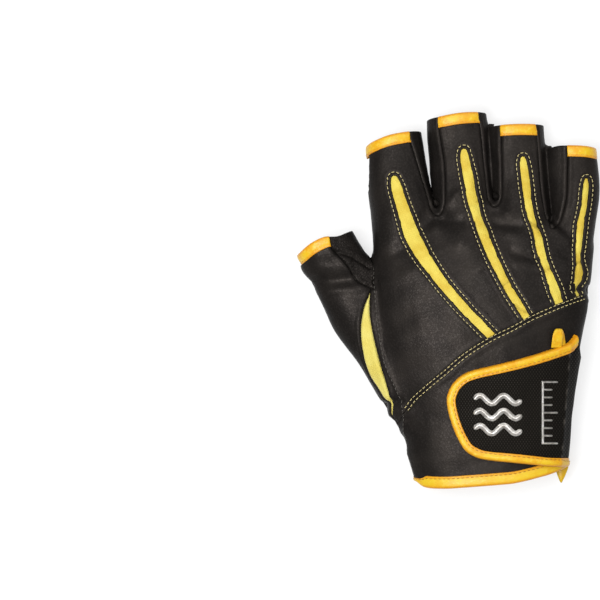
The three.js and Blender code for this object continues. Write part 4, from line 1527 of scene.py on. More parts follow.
@dataclass
class Shell:
    """The leather and cloth panels."""

    workshop: Workshop
    cell: float = 0.7
    inner_cell: float = 1.4
    wall: float = 1.7
    lip: float = 0.9
    rim_lip: float = 1.9
    stripe_sink: float = 0.55
    stripe_puff: float = 0.3
    rim_reach: float = 0.7
    ripples: Waves = ((0.025, 3.2, 5), (0.14, 11.0, 6))
    wrinkles: Waves = ((0.15, 2.4, 8), (0.16, 5.0, 9))
    ripple_rise: tuple[float, float] = (3.0, 9.0)
    relief: float = 1.35
    fold_rise: tuple[float, float] = (5.0, 8.5)
    fold_step: float = 0.6
    fold_fade: float = 3.5
    skin: Sheet | None = None
    puckers: tuple[Pucker, ...] = (
        Pucker(-19.4, 42.6, 1.5, 1.8), Pucker(6.8, 45.6, 1.5, 2.0), Pucker(31.2, 35.0, 1.2, 1.2),
    )
    lines: tuple[Fold, ...] = (
        Fold(((-76, 7.6), (-67, 8.2), (-59, 8.8), (-50, 11.2)), -0.75, 2.5),
        Fold(((-80, 12.6), (-71, 15.0), (-63, 15.8), (-55, 15.2)), 0.9, 3.7),
        Fold(((-72, 2.4), (-64, 4.2), (-56, 5.0), (-48, 4.6)), 0.5, 2.0),
        Crease(((-66, 21.4), (-61, 20.4), (-56.4, 19), (-52.4, 16.4), (-46, 12.6)), -0.65, 0.6, 1.2),
        Fold(((-66.4, 23.4), (-60, 22), (-54, 19.4)), 0.35, 0.9),
        Fold(((-16.6, 38), (-14, 42), (-7.5, 49.5)), 0.55, 2.0), Fold(((-20, 36.5), (-14, 35), (-5, 35)), -0.55, 1.9),
        Fold(((-23, 33), (-14, 29), (-6, 23)), 0.5, 3.2), Fold(((-8, 33), (-3.4, 23), (2.4, 12)), 0.45, 4.2),
        Fold(((-34, 27), (-27, 32), (-19, 36.5)), -0.6, 2.6), Fold(((0.5, 42), (8, 40.6), (14, 36)), 0.55, 2.0),
        Fold(((3.5, 34.6), (11, 33), (21, 32.6)), -0.6, 1.9), Fold(((9, 29.5), (16, 28), (24, 25.5)), 0.36, 2.4),
        Fold(((10.6, 22), (18, 20.4), (27.5, 18)), -0.65, 2.0),
        Fold(((12.6, 16.5), (20, 15.4), (29.6, 12.4)), 0.45, 2.0),
        Fold(((19, 10.6), (25, 9.6), (31.6, 7.4)), -0.4, 1.7), Fold(((31, 31), (36, 28), (42, 24)), 0.45, 2.0),
        Fold(((33, 21.5), (37, 20), (42.5, 18.4)), -0.45, 1.8), Fold(((35, 14.5), (39, 13), (42.5, 11)), 0.4, 1.6),
        Fold(((-46, 16), (-38, 20.6), (-29, 25.6)), -0.5, 2.8), Fold(((-46, 6), (-36, 9.6), (-26, 15)), 0.35, 3.4),
        Fold(((-44, -21), (-34, -17), (-22, -12)), 0.4, 5.0),
        Fold(((38, 6.8), (43, 5.2), (48, 4.3), (58, 3.6)), -1.2, 2.1),
        Fold(((-50, -48.4), (-41, -46), (-33, -43.6)), -1.1, 1.7),
        Fold(((-46, -53.2), (-40, -50.6), (-34, -48.8)), 0.5, 1.5),
        Fold(((-41, -55.4), (-35, -53), (-29, -52)), -0.4, 1.3),
        Fold(((-40, -61), (-33.6, -58), (-28, -57)), 0.4, 1.6), Fold(((-38, -70), (-31, -67), (-25, -66)), 0.3, 2.4),
        SIDE_CREASE,
    )
    pinches: tuple[Fold, ...] = (
        Fold(((6.6, 4.4), (11, 6.8), (15, 9.4)), -0.45, 0.8), Fold(((14, -1.4), (18.4, -4.6), (23, -6.4)), -0.5, 0.8),
        Fold(((19.6, 35.6), (24.2, 33), (29, 31)), -0.5, 0.9), Fold(((26, 11), (29.8, 13.2), (34, 16)), -0.4, 0.8),
        Fold(((-5.6, 41), (-1, 43.4), (3.4, 44.6)), -0.35, 1.0),
        Fold(((9, 12), (12, 10.8), (15.4, 10.8)), -0.25, 0.7),
        Fold(((39.6, 14.8), (43, 16.4), (46.4, 17)), -0.45, 0.8),
        Fold(((40.6, 29.4), (43.6, 30.4), (47, 30)), -0.3, 0.8), Fold(((-37, 42), (-34, 44.6), (-30, 46)), -0.2, 0.9),
        Fold(((-14, 5.6), (-17.4, 7.6), (-20, 11)), -0.2, 0.9),
    )

    def build(self) -> None:
        """Cuts, shapes and dresses every panel."""
        shop = self.workshop
        form, pattern = shop.form, shop.pattern
        skin = form.skin(self.cell, 0.0)
        self.skin = skin.eased(form.normals(skin.points))
        outer = pattern.cut(self.skin, True)
        inner = pattern.cut(form.skin(self.inner_cell, -self.wall), False)
        shop.lines = {kind: Seamline(segments) for kind, segments in pattern.seams.items()}
        log.info("skin cut into %d pieces", len(outer))
        look = {name: Finish.STRETCH for name in STRIPES} | {"thumb_gusset": Finish.GUSSET}
        look |= {name: Finish.PALM for name in ("thumb_front", "palm_fingers", "palm_heel")}
        look |= {"palm_grip": Finish.GRIP}
        for name, sheet in outer.items():
            finish = look.get(name, Finish.BACK)
            sheet = self.insert(name, sheet) if name in STRIPES else self.panel(sheet)
            depth = np.where(shop.lines[Seam.OPEN].distance(sheet.points) < self.rim_reach, self.rim_lip, self.lip)
            whole = sheet.with_lip(-form.normals(sheet.points), depth)
            if name in inner:
                whole = Sheet.gathered([whole, inner[name].flipped()])
            seam = shop.seam_distance(whole.points)
            # on the cloth the painted edge shade begins a little inside the edge, and the pinched creases get painted
            # shade too
            if finish in (Finish.STRETCH, Finish.GUSSET):
                seam = (seam + 0.35) * (1 + 1.6 * np.clip(self.folds(whole.points, self.pinches), -0.5, 0.0))
            shop.make(name, whole, finish, seam, merge=0.05)

    def panel(self, sheet: Sheet) -> Sheet:
        """Turns the edges of a leather panel in along its seams, ripples it and folds it.

        Args:
            sheet: The panel's smooth outer face.

        Returns:
            The shaped face.
        """
        lines = self.workshop.lines
        for kind in SHOWN_SEAMS:
            sheet = sheet.scored(lines[kind].distance(sheet.points), kind.rows)
        points = sheet.points
        height = sum(kind.height(lines[kind].distance(points)) for kind in SHOWN_SEAMS)
        height = height + smooth_step(*self.ripple_rise, points[:, 2]) * noises(points, self.ripples)
        height = height + self.folds(points, self.lines) + sum(p.height(points) for p in self.puckers)
        return self.workshop.lifted(sheet, height)

    def insert(self, name: str, sheet: Sheet) -> Sheet:
        """Sinks the cloth of a stripe below the leather.

        Args:
            name: The stripe.
            sheet: Its smooth outer face.

        Returns:
            The shaped face.
        """
        inside_by = self.workshop.pattern.stripe_field(name, sheet.points)
        puff = self.stripe_puff * smooth_step(-0.2, 1.6, inside_by)
        wrinkle = noises(sheet.points, self.wrinkles) * smooth_step(0.0, 0.9, inside_by)
        height = -self.stripe_sink + puff + wrinkle
        return self.workshop.lifted(sheet, height + self.folds(sheet.points, self.lines + self.pinches))

    def folds(self, points: Array, among: Sequence[Fold]) -> Array:
        """Height of some folds on the upper side.

        Args:
            points: Places on the skin.
            among: The folds.

        Returns:
            One height a point.
        """
        height = np.zeros(len(points))
        for fold in among:
            line = Path(fold.points, self.fold_step).xy
            reach = 3.0 * fold.width + 2.0
            close = (points[:, :2] > line.min(0) - reach) & (points[:, :2] < line.max(0) + reach)
            near = np.flatnonzero(np.all(close, axis=1) & (points[:, 2] > self.fold_rise[0]))
            if len(near) == 0:
                continue
            gap = np.linalg.norm(points[near][:, None, :2] - line[None], axis=2)
            first = gap.argmin(1)
            along, to = np.gradient(line, axis=0)[first], points[near, :2] - line[first]
            side = np.where(along[:, 0] * to[:, 1] > along[:, 1] * to[:, 0], 1.0, -1.0) * gap.min(1)
            run, length = first * self.fold_step, (len(line) - 1) * self.fold_step
            fade = smooth_step(0.0, self.fold_fade, run) * smooth_step(0.0, self.fold_fade, length - run)
            height[near] += smooth_step(*self.fold_rise, points[near, 2]) * fade * fold.shape(side)
        return height * self.relief


@dataclass
class Bindings:
    """The yellow tape round the open ends."""

    workshop: Workshop
    width: float = 4.9
    cuff_width: float = 5.2
    finger_rows: int = 46
    cuff_rows: int = 260
    stitch_column: int = 5  # where the profile dips for the stitches
    thinning: float = 0.6  # how much thinner the tape is where it ends at a side seam
    thin_share: float = 0.1
    profile: tuple[tuple[float, float], ...] = (
        (1.0, -0.2), (0.99, 0.22), (0.965, 0.42), (0.9, 0.48), (0.85, 0.4), (0.8, 0.36), (0.75, 0.42),
        (0.65, 0.54), (0.5, 0.6), (0.35, 0.64), (0.2, 0.62), (0.1, 0.54), (0.03, 0.32), (-0.02, -0.05),
        (-0.035, -0.6), (-0.02, -1.2), (0.03, -1.75), (0.12, -2.05), (0.3, -2.15), (0.6, -2.15),
        (0.85, -2.05), (0.9, -1.8), (0.92, -1.0),
    )
    rows: dict[str, Array] = field(default_factory=dict)

    def build(self) -> None:
        """Makes the four finger trims, the thumb's trim and the cuff."""
        form, lines = self.workshop.form, self.workshop.pattern.lines
        seams = [None, *(lines[name] for name in GUSSET_SEAMS), None]
        for (name, ends), left, right in zip(FINGER_ENDS.items(), seams, seams[1:]):
            points = self.finger(form.fingers[name], ends, FINGERS[name][-2][3], left, right)
            self.make(f"trim_{name}", points, Finish.BINDING)
        inner = np.column_stack(to_thumb(*lines["thumb_inner"].T))
        self.make("trim_thumb", self.finger(form.thumb, THUMB_END, THUMB[-1][3], None, inner), Finish.BINDING)
        self.make("cuff_binding", self.cuff(), Finish.CUFF)

    def make(self, name: str, points: Array, finish: Finish) -> None:
        """Makes one binding.

        Args:
            name: Its name.
            points: Its points, round the opening by round the tape.
            finish: Its finish.
        """
        back, _ = np.array(self.profile).T
        grid = points.reshape(-1, len(back), 3)
        self.rows[name] = grid
        sheet = Sheet.from_grid(grid, ring=finish is Finish.CUFF)
        edge = np.full(len(sheet.points), HIDDEN_EDGE)
        edge[: len(points)] = np.tile(np.clip(np.minimum(back, 1 - back), 0, 1) * self.width, len(grid))
        self.workshop.make(name, sheet, finish, edge)

    @staticmethod
    def side_turn(loft: Loft, y: Array, seam: Array | None, right: bool) -> Array:
        """Angle at which a trim stops: at a seam, or at the side seam's height.

        Args:
            loft: The finger.
            y: Places along it.
            seam: The seam's line, or nothing for the side seam.
            right: Whether this is the right-hand side.

        Returns:
            One angle a place.
        """
        left_x, right_x, _, equator = loft.columns(y)
        if seam is None:
            dip = np.clip((equator - SIDE_SEAM_Z - 0.2) / (equator + loft.PRESS), 0.0, 1.0) ** (loft.belly / 2)
            return -np.arcsin(dip) if right else np.pi + np.arcsin(dip)
        past = (seam[:, 0] - seam[len(seam) // 2, 0]) * (-1 if right else 1)
        side = seam[past > 0] if np.sum(past > 0) > 8 else seam
        x = np.interp(y, *side[np.argsort(side[:, 1])].T[::-1])
        u = (x - (left_x + right_x) / 2) / ((right_x - left_x) / 2)
        return np.arccos(np.clip(np.sign(u) * np.abs(u) ** (loft.CROWN_POWER / 2), -1, 1))

    def finger(self, loft: Loft, ends: Points2, top: float, left: Array | None, right: Array | None) -> Array:
        """Points of a trim round the back of one finger.

        Args:
            loft: The finger.
            ends: Its end line.
            top: Height at which the end line is drawn.
            left: Seam at its left, or nothing.
            right: Seam at its right, or nothing.

        Returns:
            Points, round the finger by round the tape.
        """
        end_line = Path(ends)
        back, lift = np.array(self.profile).T * ((self.width,), (1.0,))
        share = np.linspace(0.0, 1.0, self.finger_rows)
        y = np.full((len(share), len(back)), end_line.xy[:, 1].mean()) - back
        for _ in range(6):
            start, stop = self.side_turn(loft, y[0], left, False), self.side_turn(loft, y[-1], right, True)
            turn = (start + (stop - start) * share[:, None]).reshape(-1)
            points = loft.ring(turn, y.reshape(-1))
            y = (end_line.height_at(points[:, 0]) - cut_back(top - points[:, 2])).reshape(y.shape) - back
        points = loft.ring(turn, y.reshape(-1))
        if loft is self.workshop.form.thumb:
            points = from_thumb(points)
        near, far = self.thin_share, 1 - self.thin_share
        thin = (left is None) * (1 - smooth_step(0.0, near, share)) + (right is None) * smooth_step(far, 1.0, share)
        lifts = np.where(lift > 0, lift * (1 - self.thinning * thin)[:, None], lift)
        return self.workshop.form.settle(points, lifts.reshape(-1))

    def cuff(self) -> Array:
        """Lays the binding round the wrist.

        Returns:
            Points, round the wrist by round the tape.
        """
        form, line = self.workshop.form, Path(CUFF_END)
        back, lift = np.array(self.profile).T * ((self.cuff_width,), (1.0,))
        turn = np.repeat(np.linspace(2 * np.pi, 0.0, self.cuff_rows, endpoint=False), len(back))
        y = np.full(len(turn), -80.0)
        for _ in range(4):
            points = form.hand.ring(turn, y)
            y = line.height_at(points[:, 0]) + np.tile(back, self.cuff_rows) * cuff_taper(points)
        return form.settle(form.hand.ring(turn, y), np.tile(lift, self.cuff_rows))


@dataclass
class WristStrap:
    """The hook-and-loop strap with its binding, pull loop and ornaments."""

    workshop: Workshop
    shell: Shell
    base: float = 1.1
    top: float = 2.8
    piping: float = 4.1
    low: float = 6.9
    band_end: float = 43.0
    band_lip: float = 0.9
    snug: float = 1.4
    end_cut: tuple[float, float, float] = (42.9, -13.2, 8.0)  # x, y and steepness of the cut at its side
    fold_line: tuple[float, float, float] = (37.4, -48.0, 0.078)  # x, y and lean of the line where it turns down
    fold_bells: tuple[tuple[float, float, float], ...] = ((0.42, 0.0, 0.6), (-0.3, 2.0, 1.3))
    weave: Waves = ((0.05, 6.0, 3),)
    puffs: Waves = ((0.05, 2.2, 12),)
    edge: tuple[tuple[float, float], ...] = (
        (0.0, 1.3), (0.12, 2.1), (0.35, 2.75), (0.8, 3.2), (1.4, 3.42), (2.1, 3.42), (2.7, 3.25), (3.1, 3.08),
        (3.4, 3.1), (3.8, 3.12), (4.02, 2.95), (4.1, 2.75),
    )
    bar_section: tuple[tuple[float, float], ...] = (
        (-1.0, -0.4), (-1.0, 0.1), (-0.97, 0.2), (-0.85, 0.3), (-0.4, 0.72), (-0.1, 0.97), (0.0, 1.0), (0.1, 0.97),
        (0.4, 0.72), (0.85, 0.3), (0.97, 0.2), (1.0, 0.1), (1.0, -0.4),
    )
    wave_middle: tuple[float, float] = (7.8, -50.4)
    wave_gap: float = 6.6
    wave_length: float = 21.0
    wave_half: float = 1.25
    wave_swing: float = 1.75
    wave_tall: float = 1.1
    ruler_foot: tuple[float, float] = (28.1, -49.6)
    ruler_length: float = 27.0
    ticks: int = 9
    long_tick: float = 6.2
    short_tick: float = 3.8
    loop_line: Points2 = (
        (-20.8, 1.0), (-18.5, 0.75), (-16.2, 0.85), (-14.4, 1.0), (-13.3, 1.35), (-12.8, 2.0), (-13.2, 2.75),
        (-14.4, 3.2), (-16.2, 3.3), (-18.2, 3.0), (-19.6, 2.5), (-20.9, 2.0),
    )
    loop_thick: float = 0.34
    loop_x: float = 34.6
    loop_lean: float = 1.9
    loop_half: float = 2.3
    loop_bulge: float = 0.12
    tab_outline: Points2 = (
        (32.9, -72.6), (33.8, -76.4), (35.5, -80.4), (36.6, -79.2), (37.8, -76.6), (38.9, -73.4), (38.2, -71.2),
        (35.4, -71.0), (32.9, -72.6),
    )
    tab_rows: tuple[tuple[float, float], ...] = (
        (0.05, 9.05), (0.6, 9.0), (0.92, 9.15), (1.0, 9.6), (0.94, 10.1), (0.7, 10.45), (0.35, 10.6), (0.05, 10.65),
    )
    outline: Seamline | None = None

    def build(self) -> None:
        """Makes the strap, its binding, the loop, the tab and the ornaments."""
        skin = self.shell.skin
        _, sheet, _ = skin.split(self.low - skin.points[:, 2])
        sheet = sheet.part(np.all(sheet.points[sheet.faces][:, :, 1] < 0, axis=1))
        region = self.workshop.pattern.regions["strap"]
        sheet, _, segments = sheet.split(region.signed(self.raised(sheet.points, self.top)))
        self.outline = Seamline([segments])
        x, y = self.plan(sheet)
        at_x, at_y, steepness = self.end_cut
        _, sheet, _ = sheet.split(y - at_y + steepness * (x - at_x))
        band_by = np.minimum(self.piping - self.edge_distance(sheet), self.band_end - self.plan(sheet)[0])
        band, cloth, _ = sheet.split(band_by)
        self.make_cloth(cloth)
        self.make_band(band)
        self.waves()
        self.ruler()
        self.pull_loop()
        self.corner_tab()

    def raised(self, points: Array, lift: Array | float) -> Array:
        """Points of the skin moved out to the strap, which hugs the side of the hand more closely."""
        out = self.workshop.form.normals(points)
        return points + out * np.reshape(lift - self.snug * smooth_step(0.55, 0.97, out[:, 0]), (-1, 1))

    def plan(self, sheet: Sheet) -> Array:
        """Where a sheet's corners lie on the plan once raised, as a row of x and a row of y."""
        return self.raised(sheet.points, self.top)[:, :2].T

    def edge_distance(self, sheet: Sheet) -> Array:
        """Distance to the strap's edge, on a scale that narrows the binding a little towards its end.

        Args:
            sheet: A part of the skin under the strap.

        Returns:
            One distance a corner.
        """
        x, y = self.plan(sheet)
        narrow = smooth_step(39.0, 42.5, x) * smooth_step(-51.6, -50.8, y - 0.7 * x)
        return self.outline.distance(sheet.points) * (1 + 0.12 * narrow)

    def past_fold(self, sheet: Sheet) -> Array:
        """How far corners lie past the line where the strap turns down at the side."""
        at_x, at_y, lean = self.fold_line
        return self.plan(sheet)[0] - (at_x + lean * (sheet.points[:, 1] - at_y))

    def ridge(self, sheet: Sheet) -> Array:
        """Height of the ridge where the strap turns down at the side."""
        d = self.past_fold(sheet)
        return sum(height * bell(d - place, width) for height, place, width in self.fold_bells)

    def make_cloth(self, sheet: Sheet) -> None:
        """Makes the strap's woven face.

        Args:
            sheet: The skin under it.
        """
        d = self.edge_distance(sheet)
        height = self.top + 0.1 * smooth_step(4.1, 4.9, d) + self.ridge(sheet)
        height = height + noises(sheet.points, self.weave) - 0.9 * (1 - smooth_step(0.0, 0.5, d))
        face = Sheet(self.raised(sheet.points, height), sheet.faces)
        back = Sheet(self.raised(sheet.points, self.base), sheet.faces).flipped()
        whole = face.with_lip(-self.workshop.form.normals(sheet.points), self.top - self.base)
        # distance from the fold line, which places the painted highlight along it
        fold_sheen = np.abs(self.past_fold(sheet))
        self.workshop.make("wrist_strap", Sheet.gathered([whole, back]), Finish.TWILL, fold_sheen, merge=0.05)

    def make_band(self, sheet: Sheet) -> None:
        """Makes the rounded binding round the strap.

        Args:
            sheet: The skin under it.
        """
        sheet = sheet.scored(self.edge_distance(sheet), [d for d, _ in self.edge[1:-1]])
        d = self.edge_distance(sheet)
        height = np.interp(d, *np.array(self.edge).T) + self.ridge(sheet) * 0.5
        face = Sheet(self.raised(sheet.points, height + noises(sheet.points, self.puffs)), sheet.faces)
        whole = face.with_lip(-self.workshop.form.normals(sheet.points), self.band_lip)
        edge = np.full(len(whole.points), HIDDEN_EDGE)
        edge[: len(d)] = np.minimum(d, self.piping - d)
        self.workshop.make("strap_piping", whole, Finish.BINDING, edge, merge=0.05)

    def bar(self, x: Array, y: Array, half: Array | float, tall: float) -> Sheet:
        """A raised bar that follows the strap.

        Args:
            x: Its middle line on the plan, from left to right.
            y: The same, from the wrist to the fingers.
            half: Half its width, one value or one a point.
            tall: Its height.

        Returns:
            The bar.
        """
        middle = np.column_stack(np.broadcast_arrays(x, y))
        over = self.workshop.form.over
        grid = [
            over(Path.beside(middle, np.broadcast_to(-half * across, len(middle))), self.top + 0.1 + tall * up)
            for across, up in self.bar_section
        ]
        return Sheet.from_grid(np.stack(grid, axis=1))

    def waves(self) -> None:
        """Makes the three waves."""
        t = np.linspace(-0.5, 0.5, 64)
        run = np.minimum(t + 0.5, 0.5 - t) * self.wave_length / self.wave_half
        half = self.wave_half * np.sqrt(np.clip(1 - (1 - np.clip(run, 0.02, 1)) ** 2, 0, 1))
        for i in range(3):
            y = self.wave_middle[1] + (i - 1) * self.wave_gap + self.wave_swing * np.sin(4 * np.pi * t)
            name = f"strap_wave_{i + 1}"
            wave = self.bar(self.wave_middle[0] + t * self.wave_length, y, half, self.wave_tall)
            self.workshop.make(name, wave, Finish.SILVER, merge=0.005)

    def ruler(self) -> None:
        """Makes the ruler's line and its nine ticks."""
        left, low = self.ruler_foot
        reach = self.ruler_length / 2 + 0.4
        bars = [self.bar(left - 0.5, np.linspace(low - reach, low + reach, 40), 0.55, 0.9)]
        half = np.array([0.45] * 11 + [0.25])
        for i in range(self.ticks):
            x = np.linspace(left - 0.9, left + (self.short_tick if i % 4 else self.long_tick), len(half))
            bars.append(self.bar(x, low + (i / (self.ticks - 1) - 0.5) * self.ruler_length, half, 0.85))
        self.workshop.make("strap_ruler", Sheet.gathered(bars), Finish.SILVER, merge=0.005)

    def pull_loop(self) -> None:
        """Makes the ribbon loop that comes out from under the binding."""
        line = Path(self.loop_line, 0.35).xy
        side = Path.beside(line, 1.0) - line
        bend = np.linspace(0.0, 1.0, len(line))
        narrow = 0.1 * bell(bend - 0.5, 0.14)
        across = np.linspace(-1.0, 1.0, 9)
        grid = []
        for sign, columns in ((-1.0, across), (1.0, across[::-1])):
            for u in columns:
                edge = self.loop_thick * (1.0 if abs(u) < 0.99 else 0.35)
                y, z = (line + side * (sign * edge) + side * (self.loop_bulge * (1 - u * u))).T
                x = self.loop_x - self.loop_lean * (bend - 0.5) + u * self.loop_half * (1 - narrow)
                grid.append(self.workshop.form.over(np.column_stack([x, y - 11.0 * u**4 * narrow]), z))
        self.workshop.make("pull_loop", Sheet.from_grid(np.stack(grid, axis=1)), Finish.BINDING)

    def corner_tab(self) -> None:
        """Makes the folded corner of the cuff's binding."""
        outline = Path(self.tab_outline, 0.4).xy[:-1]
        centre = outline.mean(0)
        rows = [np.insert(centre + (outline - centre) * share, 2, z, axis=1) for share, z in self.tab_rows]
        self.workshop.make("cuff_corner", Sheet.from_grid(np.stack(rows)), Finish.CUFF)


def circle(centre: Array, side: Array, ahead: Array, radius: float, corners: int) -> Array:
    """A ring of points round a centre, in the plane of two directions."""
    turn = np.linspace(0, 2 * np.pi, corners, endpoint=False)[:, None]
    return centre + radius * (np.cos(turn) * side + np.sin(turn) * ahead)


@dataclass
class Stitching:
    """Rows of stitches, laid on the finished pieces."""

    workshop: Workshop
    bindings: Bindings
    pitch: float = 2.1
    first: float = 0.2
    length: float = 1.45
    shortest: float = 0.4
    farthest: float = 2.5  # a stitch that would lie farther from its ground is left out
    uneven: float = 0.05
    askew: float = 0.06
    seed: int = 11
    radius: float = 0.135
    flatness: float = 0.85
    beside_stripe: float = 1.65
    beside_diagonal: float = 0.85
    strap_inset: float = 3.15
    bow: tuple[tuple[float, float, float], ...] = (  # along a stitch: place, height, thickness
        (0.0, -0.2, 0.7), (0.16, 0.04, 1.0), (0.5, 0.11, 1.08), (0.84, 0.04, 1.0), (1.0, -0.2, 0.7),
    )

    def build(self) -> None:
        """Makes every row."""
        over, rows = self.workshop.form.over, self.bindings.rows
        column = self.bindings.stitch_column
        leather = ["back_panel", "wrist_panel"]
        lines = [over(line) for line in self.stripe_lines() + self.diagonal_lines()]
        self.make("stitches_back", lines, leather, Finish.YELLOW_THREAD)
        trims = [name for name in rows if name.startswith("trim")]
        self.make("stitches_trims", [rows[name][1:-1, column] for name in trims], trims, Finish.AMBER_THREAD)
        side = Path(SIDE_CREASE.points).xy[8:-12]
        self.make("stitches_side", [over(side)], leather, Finish.GREY_THREAD)
        cuff = rows["cuff_binding"][:, column]
        self.make("stitches_cuff", [cuff[cuff[:, 2] > 1.5]], ["cuff_binding"], Finish.AMBER_THREAD)
        inner = Path.beside(self.workshop.pattern.lines["strap"], self.strap_inset)
        inner = over(inner[inner[:, 0] < 41.5], 3.1)
        self.make("stitches_strap", [inner], ["strap_piping"], Finish.AMBER_THREAD)

    def stripe_lines(self) -> list[Array]:
        """Lines round each stripe, on the plan.

        Returns:
            One line a stripe.
        """
        pattern = self.workshop.pattern
        lines = []
        for rows in STRIPES.values():
            line = pattern.stripe_outline(rows, self.beside_stripe)
            lines.append(Path.spaced(line[pattern.regions["above_diagonal"].signed(line) > 1.5], Path.STEP))
        return lines

    def diagonal_lines(self) -> list[Array]:
        """The double row beside the diagonal seam, on the plan.

        Returns:
            The line above the seam and the line below it.
        """
        line = self.workshop.pattern.lines["diagonal"]
        shown = line[(line[:, 0] > -32.6) & (line[:, 0] < 47.0)]
        return [Path.beside(shown, by) for by in (self.beside_diagonal, -self.beside_diagonal)]

    def ground(self, names: Sequence[str]) -> BVHTree:
        """The surface of some pieces, in millimetres.

        Args:
            names: The pieces.

        Returns:
            A tree that finds the nearest place on them.
        """
        points: list[list[float]] = []
        faces: list[list[int]] = []
        for name in names:
            mesh = self.workshop.pieces[name].data
            flat = np.empty(len(mesh.vertices) * 3, np.float32)
            mesh.vertices.foreach_get("co", flat)
            corners = np.empty(len(mesh.loops), np.int32)
            mesh.loops.foreach_get("vertex_index", corners)
            faces += (corners.reshape(-1, 3) + len(points)).tolist()
            points += (flat.reshape(-1, 3) / MM).tolist()
        return BVHTree.FromPolygons(points, faces)

    def make(self, name: str, lines: Sequence[Array], on: Sequence[str], thread: Finish) -> None:
        """Makes one piece of many stitches.

        Args:
            name: Its name.
            lines: Lines in space that the rows follow.
            on: The pieces that they lie on.
            thread: Their finish.
        """
        rng = np.random.default_rng(self.seed)
        ground = self.ground(on)
        sheets = []
        for line in lines:
            run = Path.run(line)
            for k in range(int(run[-1] / self.pitch)):
                start = k * self.pitch + self.first + rng.uniform(-self.uneven, self.uneven)
                ends = [[np.interp(at, run, axis) for axis in line.T] for at in (start, start + self.length)]
                (a, up_a, _, far_a), (b, up_b, _, far_b) = (ground.find_nearest(Vector(end)) for end in ends)
                if a is None or b is None or max(far_a, far_b) > self.farthest:
                    continue
                if (b - a).length < self.shortest or (up_a + up_b).length < 0.5:
                    continue
                askew = rng.uniform(-self.askew, self.askew)
                sheets.append(self.stitch(np.array(a), np.array(b), np.array(up_a + up_b), askew))
        self.workshop.make(name, Sheet.gathered(sheets), thread, merge=0.001, solid=False)

    def stitch(self, a: Array, b: Array, up: Array, askew: float) -> Sheet:
        """One stitch.

        Args:
            a: Where it comes out.
            b: Where it goes in.
            up: Direction out of the ground.
            askew: How far its ends lie to the side.

        Returns:
            The stitch.
        """
        along = unit(b - a)
        up = unit(up - along * (up @ along))
        side = np.cross(along, up)
        grid = []
        for place, lift, wide in self.bow:
            centre = a + (b - a) * place + up * (lift + 0.06) + side * askew * (place - 0.5)
            grid.append(circle(centre, side, up * self.flatness, self.radius * wide, 6))
        return Sheet.from_grid(np.stack(grid))


@dataclass
class GripCells:
    """Raised cells across the palm."""

    workshop: Workshop
    pitch: float = 2.2
    radius: float = 0.92
    tall: float = 0.38
    row_share: float = 0.866  # of the pitch, from row to row
    span: tuple[tuple[float, float], ...] = ((-50.0, 52.0), (-42.0, 42.0))
    margin: float = 2.0
    bare_margin: float = 1.2
    highest: float = 4.6
    buried: float = 0.8
    corners: int = 10
    bare: Points2 = ((60, 5), (27, 3.2), (24.4, 1), (24.4, -2), (27, -4), (60, -3))
    dome: tuple[tuple[float, float], ...] = ((1.0, -0.3), (0.93, 0.45), (0.75, 0.85), (0.42, 1.0))

    def build(self) -> None:
        """Makes the cells on the grip patch."""
        form, regions = self.workshop.form, self.workshop.pattern.regions
        steps = (self.pitch, self.pitch * self.row_share)
        x, y = np.meshgrid(*(np.arange(*ends, step) for ends, step in zip(self.span, steps)))
        x = x + (np.arange(x.shape[0]) % 2)[:, None] * self.pitch / 2
        spots = np.column_stack([x.reshape(-1), y.reshape(-1)])
        keep = regions["above_patch"].signed(spots) > self.margin
        keep &= regions["above_fingers"].signed(spots) < -self.margin
        keep &= regions["thumb_front"].signed(spots) < -self.margin
        keep &= Region(self.bare).signed(spots) < -self.bare_margin
        centres = form.crossing(spots[keep], form.core, -1.0)
        deeper = form.distance(*(centres + (0, 0, self.buried)).T)
        centres = centres[(centres[:, 2] < self.highest) & (deeper < 0)]
        cells = []
        for centre, up in zip(centres, form.normals(centres)):
            side = unit(np.cross(up, (0.0, 1.0, 0.0)))
            ahead = np.cross(up, side)
            grid = [
                circle(centre + up * lift * self.tall, side, ahead, self.radius * wide, self.corners)
                for wide, lift in self.dome
            ]
            cells.append(Sheet.from_grid(np.stack(grid)))
        self.workshop.make("grip_cells", Sheet.gathered(cells), Finish.GRIP, merge=0.001, solid=False)


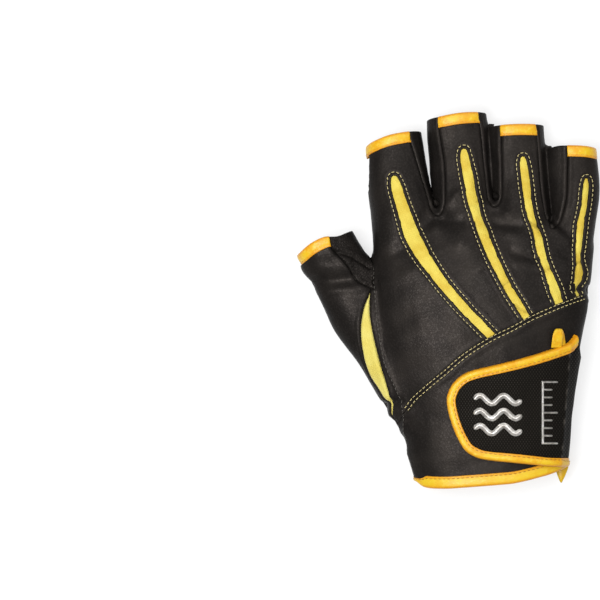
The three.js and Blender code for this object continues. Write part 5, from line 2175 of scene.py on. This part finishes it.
@dataclass
class Studio:
    """Floor, light and camera."""

    scale: float = 0.264
    aim: tuple[float, float, float] = (-0.0792, 0.0, 2.0)
    floor_half: float = 3.0
    floor_glow: float = 0.7
    floor_tones: tuple[Colour, Colour] = ((0.27, 0.27, 0.27), (0.29, 0.29, 0.289))
    low_sky: float = 0.15
    high_sky: float = 0.8
    lamps: tuple[tuple[str, tuple[float, float, float], float, float], ...] = (  # name, place, width, watts
        ("key", (-0.25, -0.09, 0.9), 0.4, 7.1),
        ("fill", (0.4, 0.45, 0.8), 0.8, 2.6),
        ("top", (-0.26, 0.44, 0.9), 0.4, 1.3),
    )

    def build(self) -> None:
        """Sets up the studio."""
        settings = bpy.context.scene.view_settings
        settings.view_transform = "Standard"
        settings.look = "None"
        settings.exposure = 0.0
        self.camera()
        self.floor()
        self.sky()
        for name, place, width, watts in self.lamps:
            data = bpy.data.lights.new(name, "AREA")
            data.size, data.energy = width, watts
            self.add(name, data, place).rotation_euler = (-Vector(place)).to_track_quat("-Z", "Y").to_euler()

    @staticmethod
    def add(name: str, data: bpy.types.ID, place: Sequence[float] = (0.0, 0.0, 0.0)) -> bpy.types.Object:
        """Puts an object in the scene.

        Args:
            name: Its name.
            data: Its mesh, lamp or camera.
            place: Where it stands, in metres.

        Returns:
            The object.
        """
        thing = bpy.data.objects.new(name, data)
        thing.location = place
        bpy.context.scene.collection.objects.link(thing)
        return thing

    def camera(self) -> None:
        """Looks straight down, as the photograph does."""
        data = bpy.data.cameras.new("camera")
        data.type = "ORTHO"
        data.ortho_scale = self.scale
        bpy.context.scene.camera = self.add("camera", data, self.aim)

    def floor(self) -> None:
        """Lays a pale floor, which lights itself in part."""
        mesh = bpy.data.meshes.new("floor")
        s = self.floor_half
        mesh.from_pydata([(-s, -s, 0), (s, -s, 0), (s, s, 0), (-s, s, 0)], [], [(0, 1, 2, 3)])
        r = Recipe("floor")
        colour = r.mix(r.noise(60.0), *self.floor_tones)
        glow = {"Emission_Color": (1.0, 1.0, 1.0), "Emission_Strength": self.floor_glow}
        mesh.materials.append(r.finish(Base_Color=colour, Roughness=0.9, Specular_IOR_Level=0.1, **glow))
        self.add("floor", mesh)

    def sky(self) -> None:
        """Lights everything evenly, brightest from above, and white below the floor's edge."""
        world = bpy.data.worlds.new("studio")
        world.use_nodes = True
        r = Nodes(world.node_tree)
        spot = r.node("ShaderNodeTexCoord", output="Generated")
        height = r.node("ShaderNodeSeparateXYZ", {}, {0: spot}, "Z")
        above = height.mapped((0.0, 1.0, self.low_sky, self.high_sky))
        below = height.mapped((-0.06, -0.03, 1.0, 0.0))
        back = world.node_tree.nodes["Background"]
        r.feed(back.inputs["Color"], (1.0, 1.0, 1.0))
        r.feed(back.inputs["Strength"], above.larger(below))
        bpy.context.scene.world = world


def main() -> None:
    """Builds the glove, piece by piece, and the studio round it."""
    logging.basicConfig(level=logging.INFO, format="%(name)s %(message)s")
    workshop = Workshop()
    shell = Shell(workshop)
    shell.build()
    bindings = Bindings(workshop)
    bindings.build()
    WristStrap(workshop, shell).build()
    Stitching(workshop, bindings).build()
    GripCells(workshop).build()
    Studio().build()


if __name__ == "__main__":
    main()
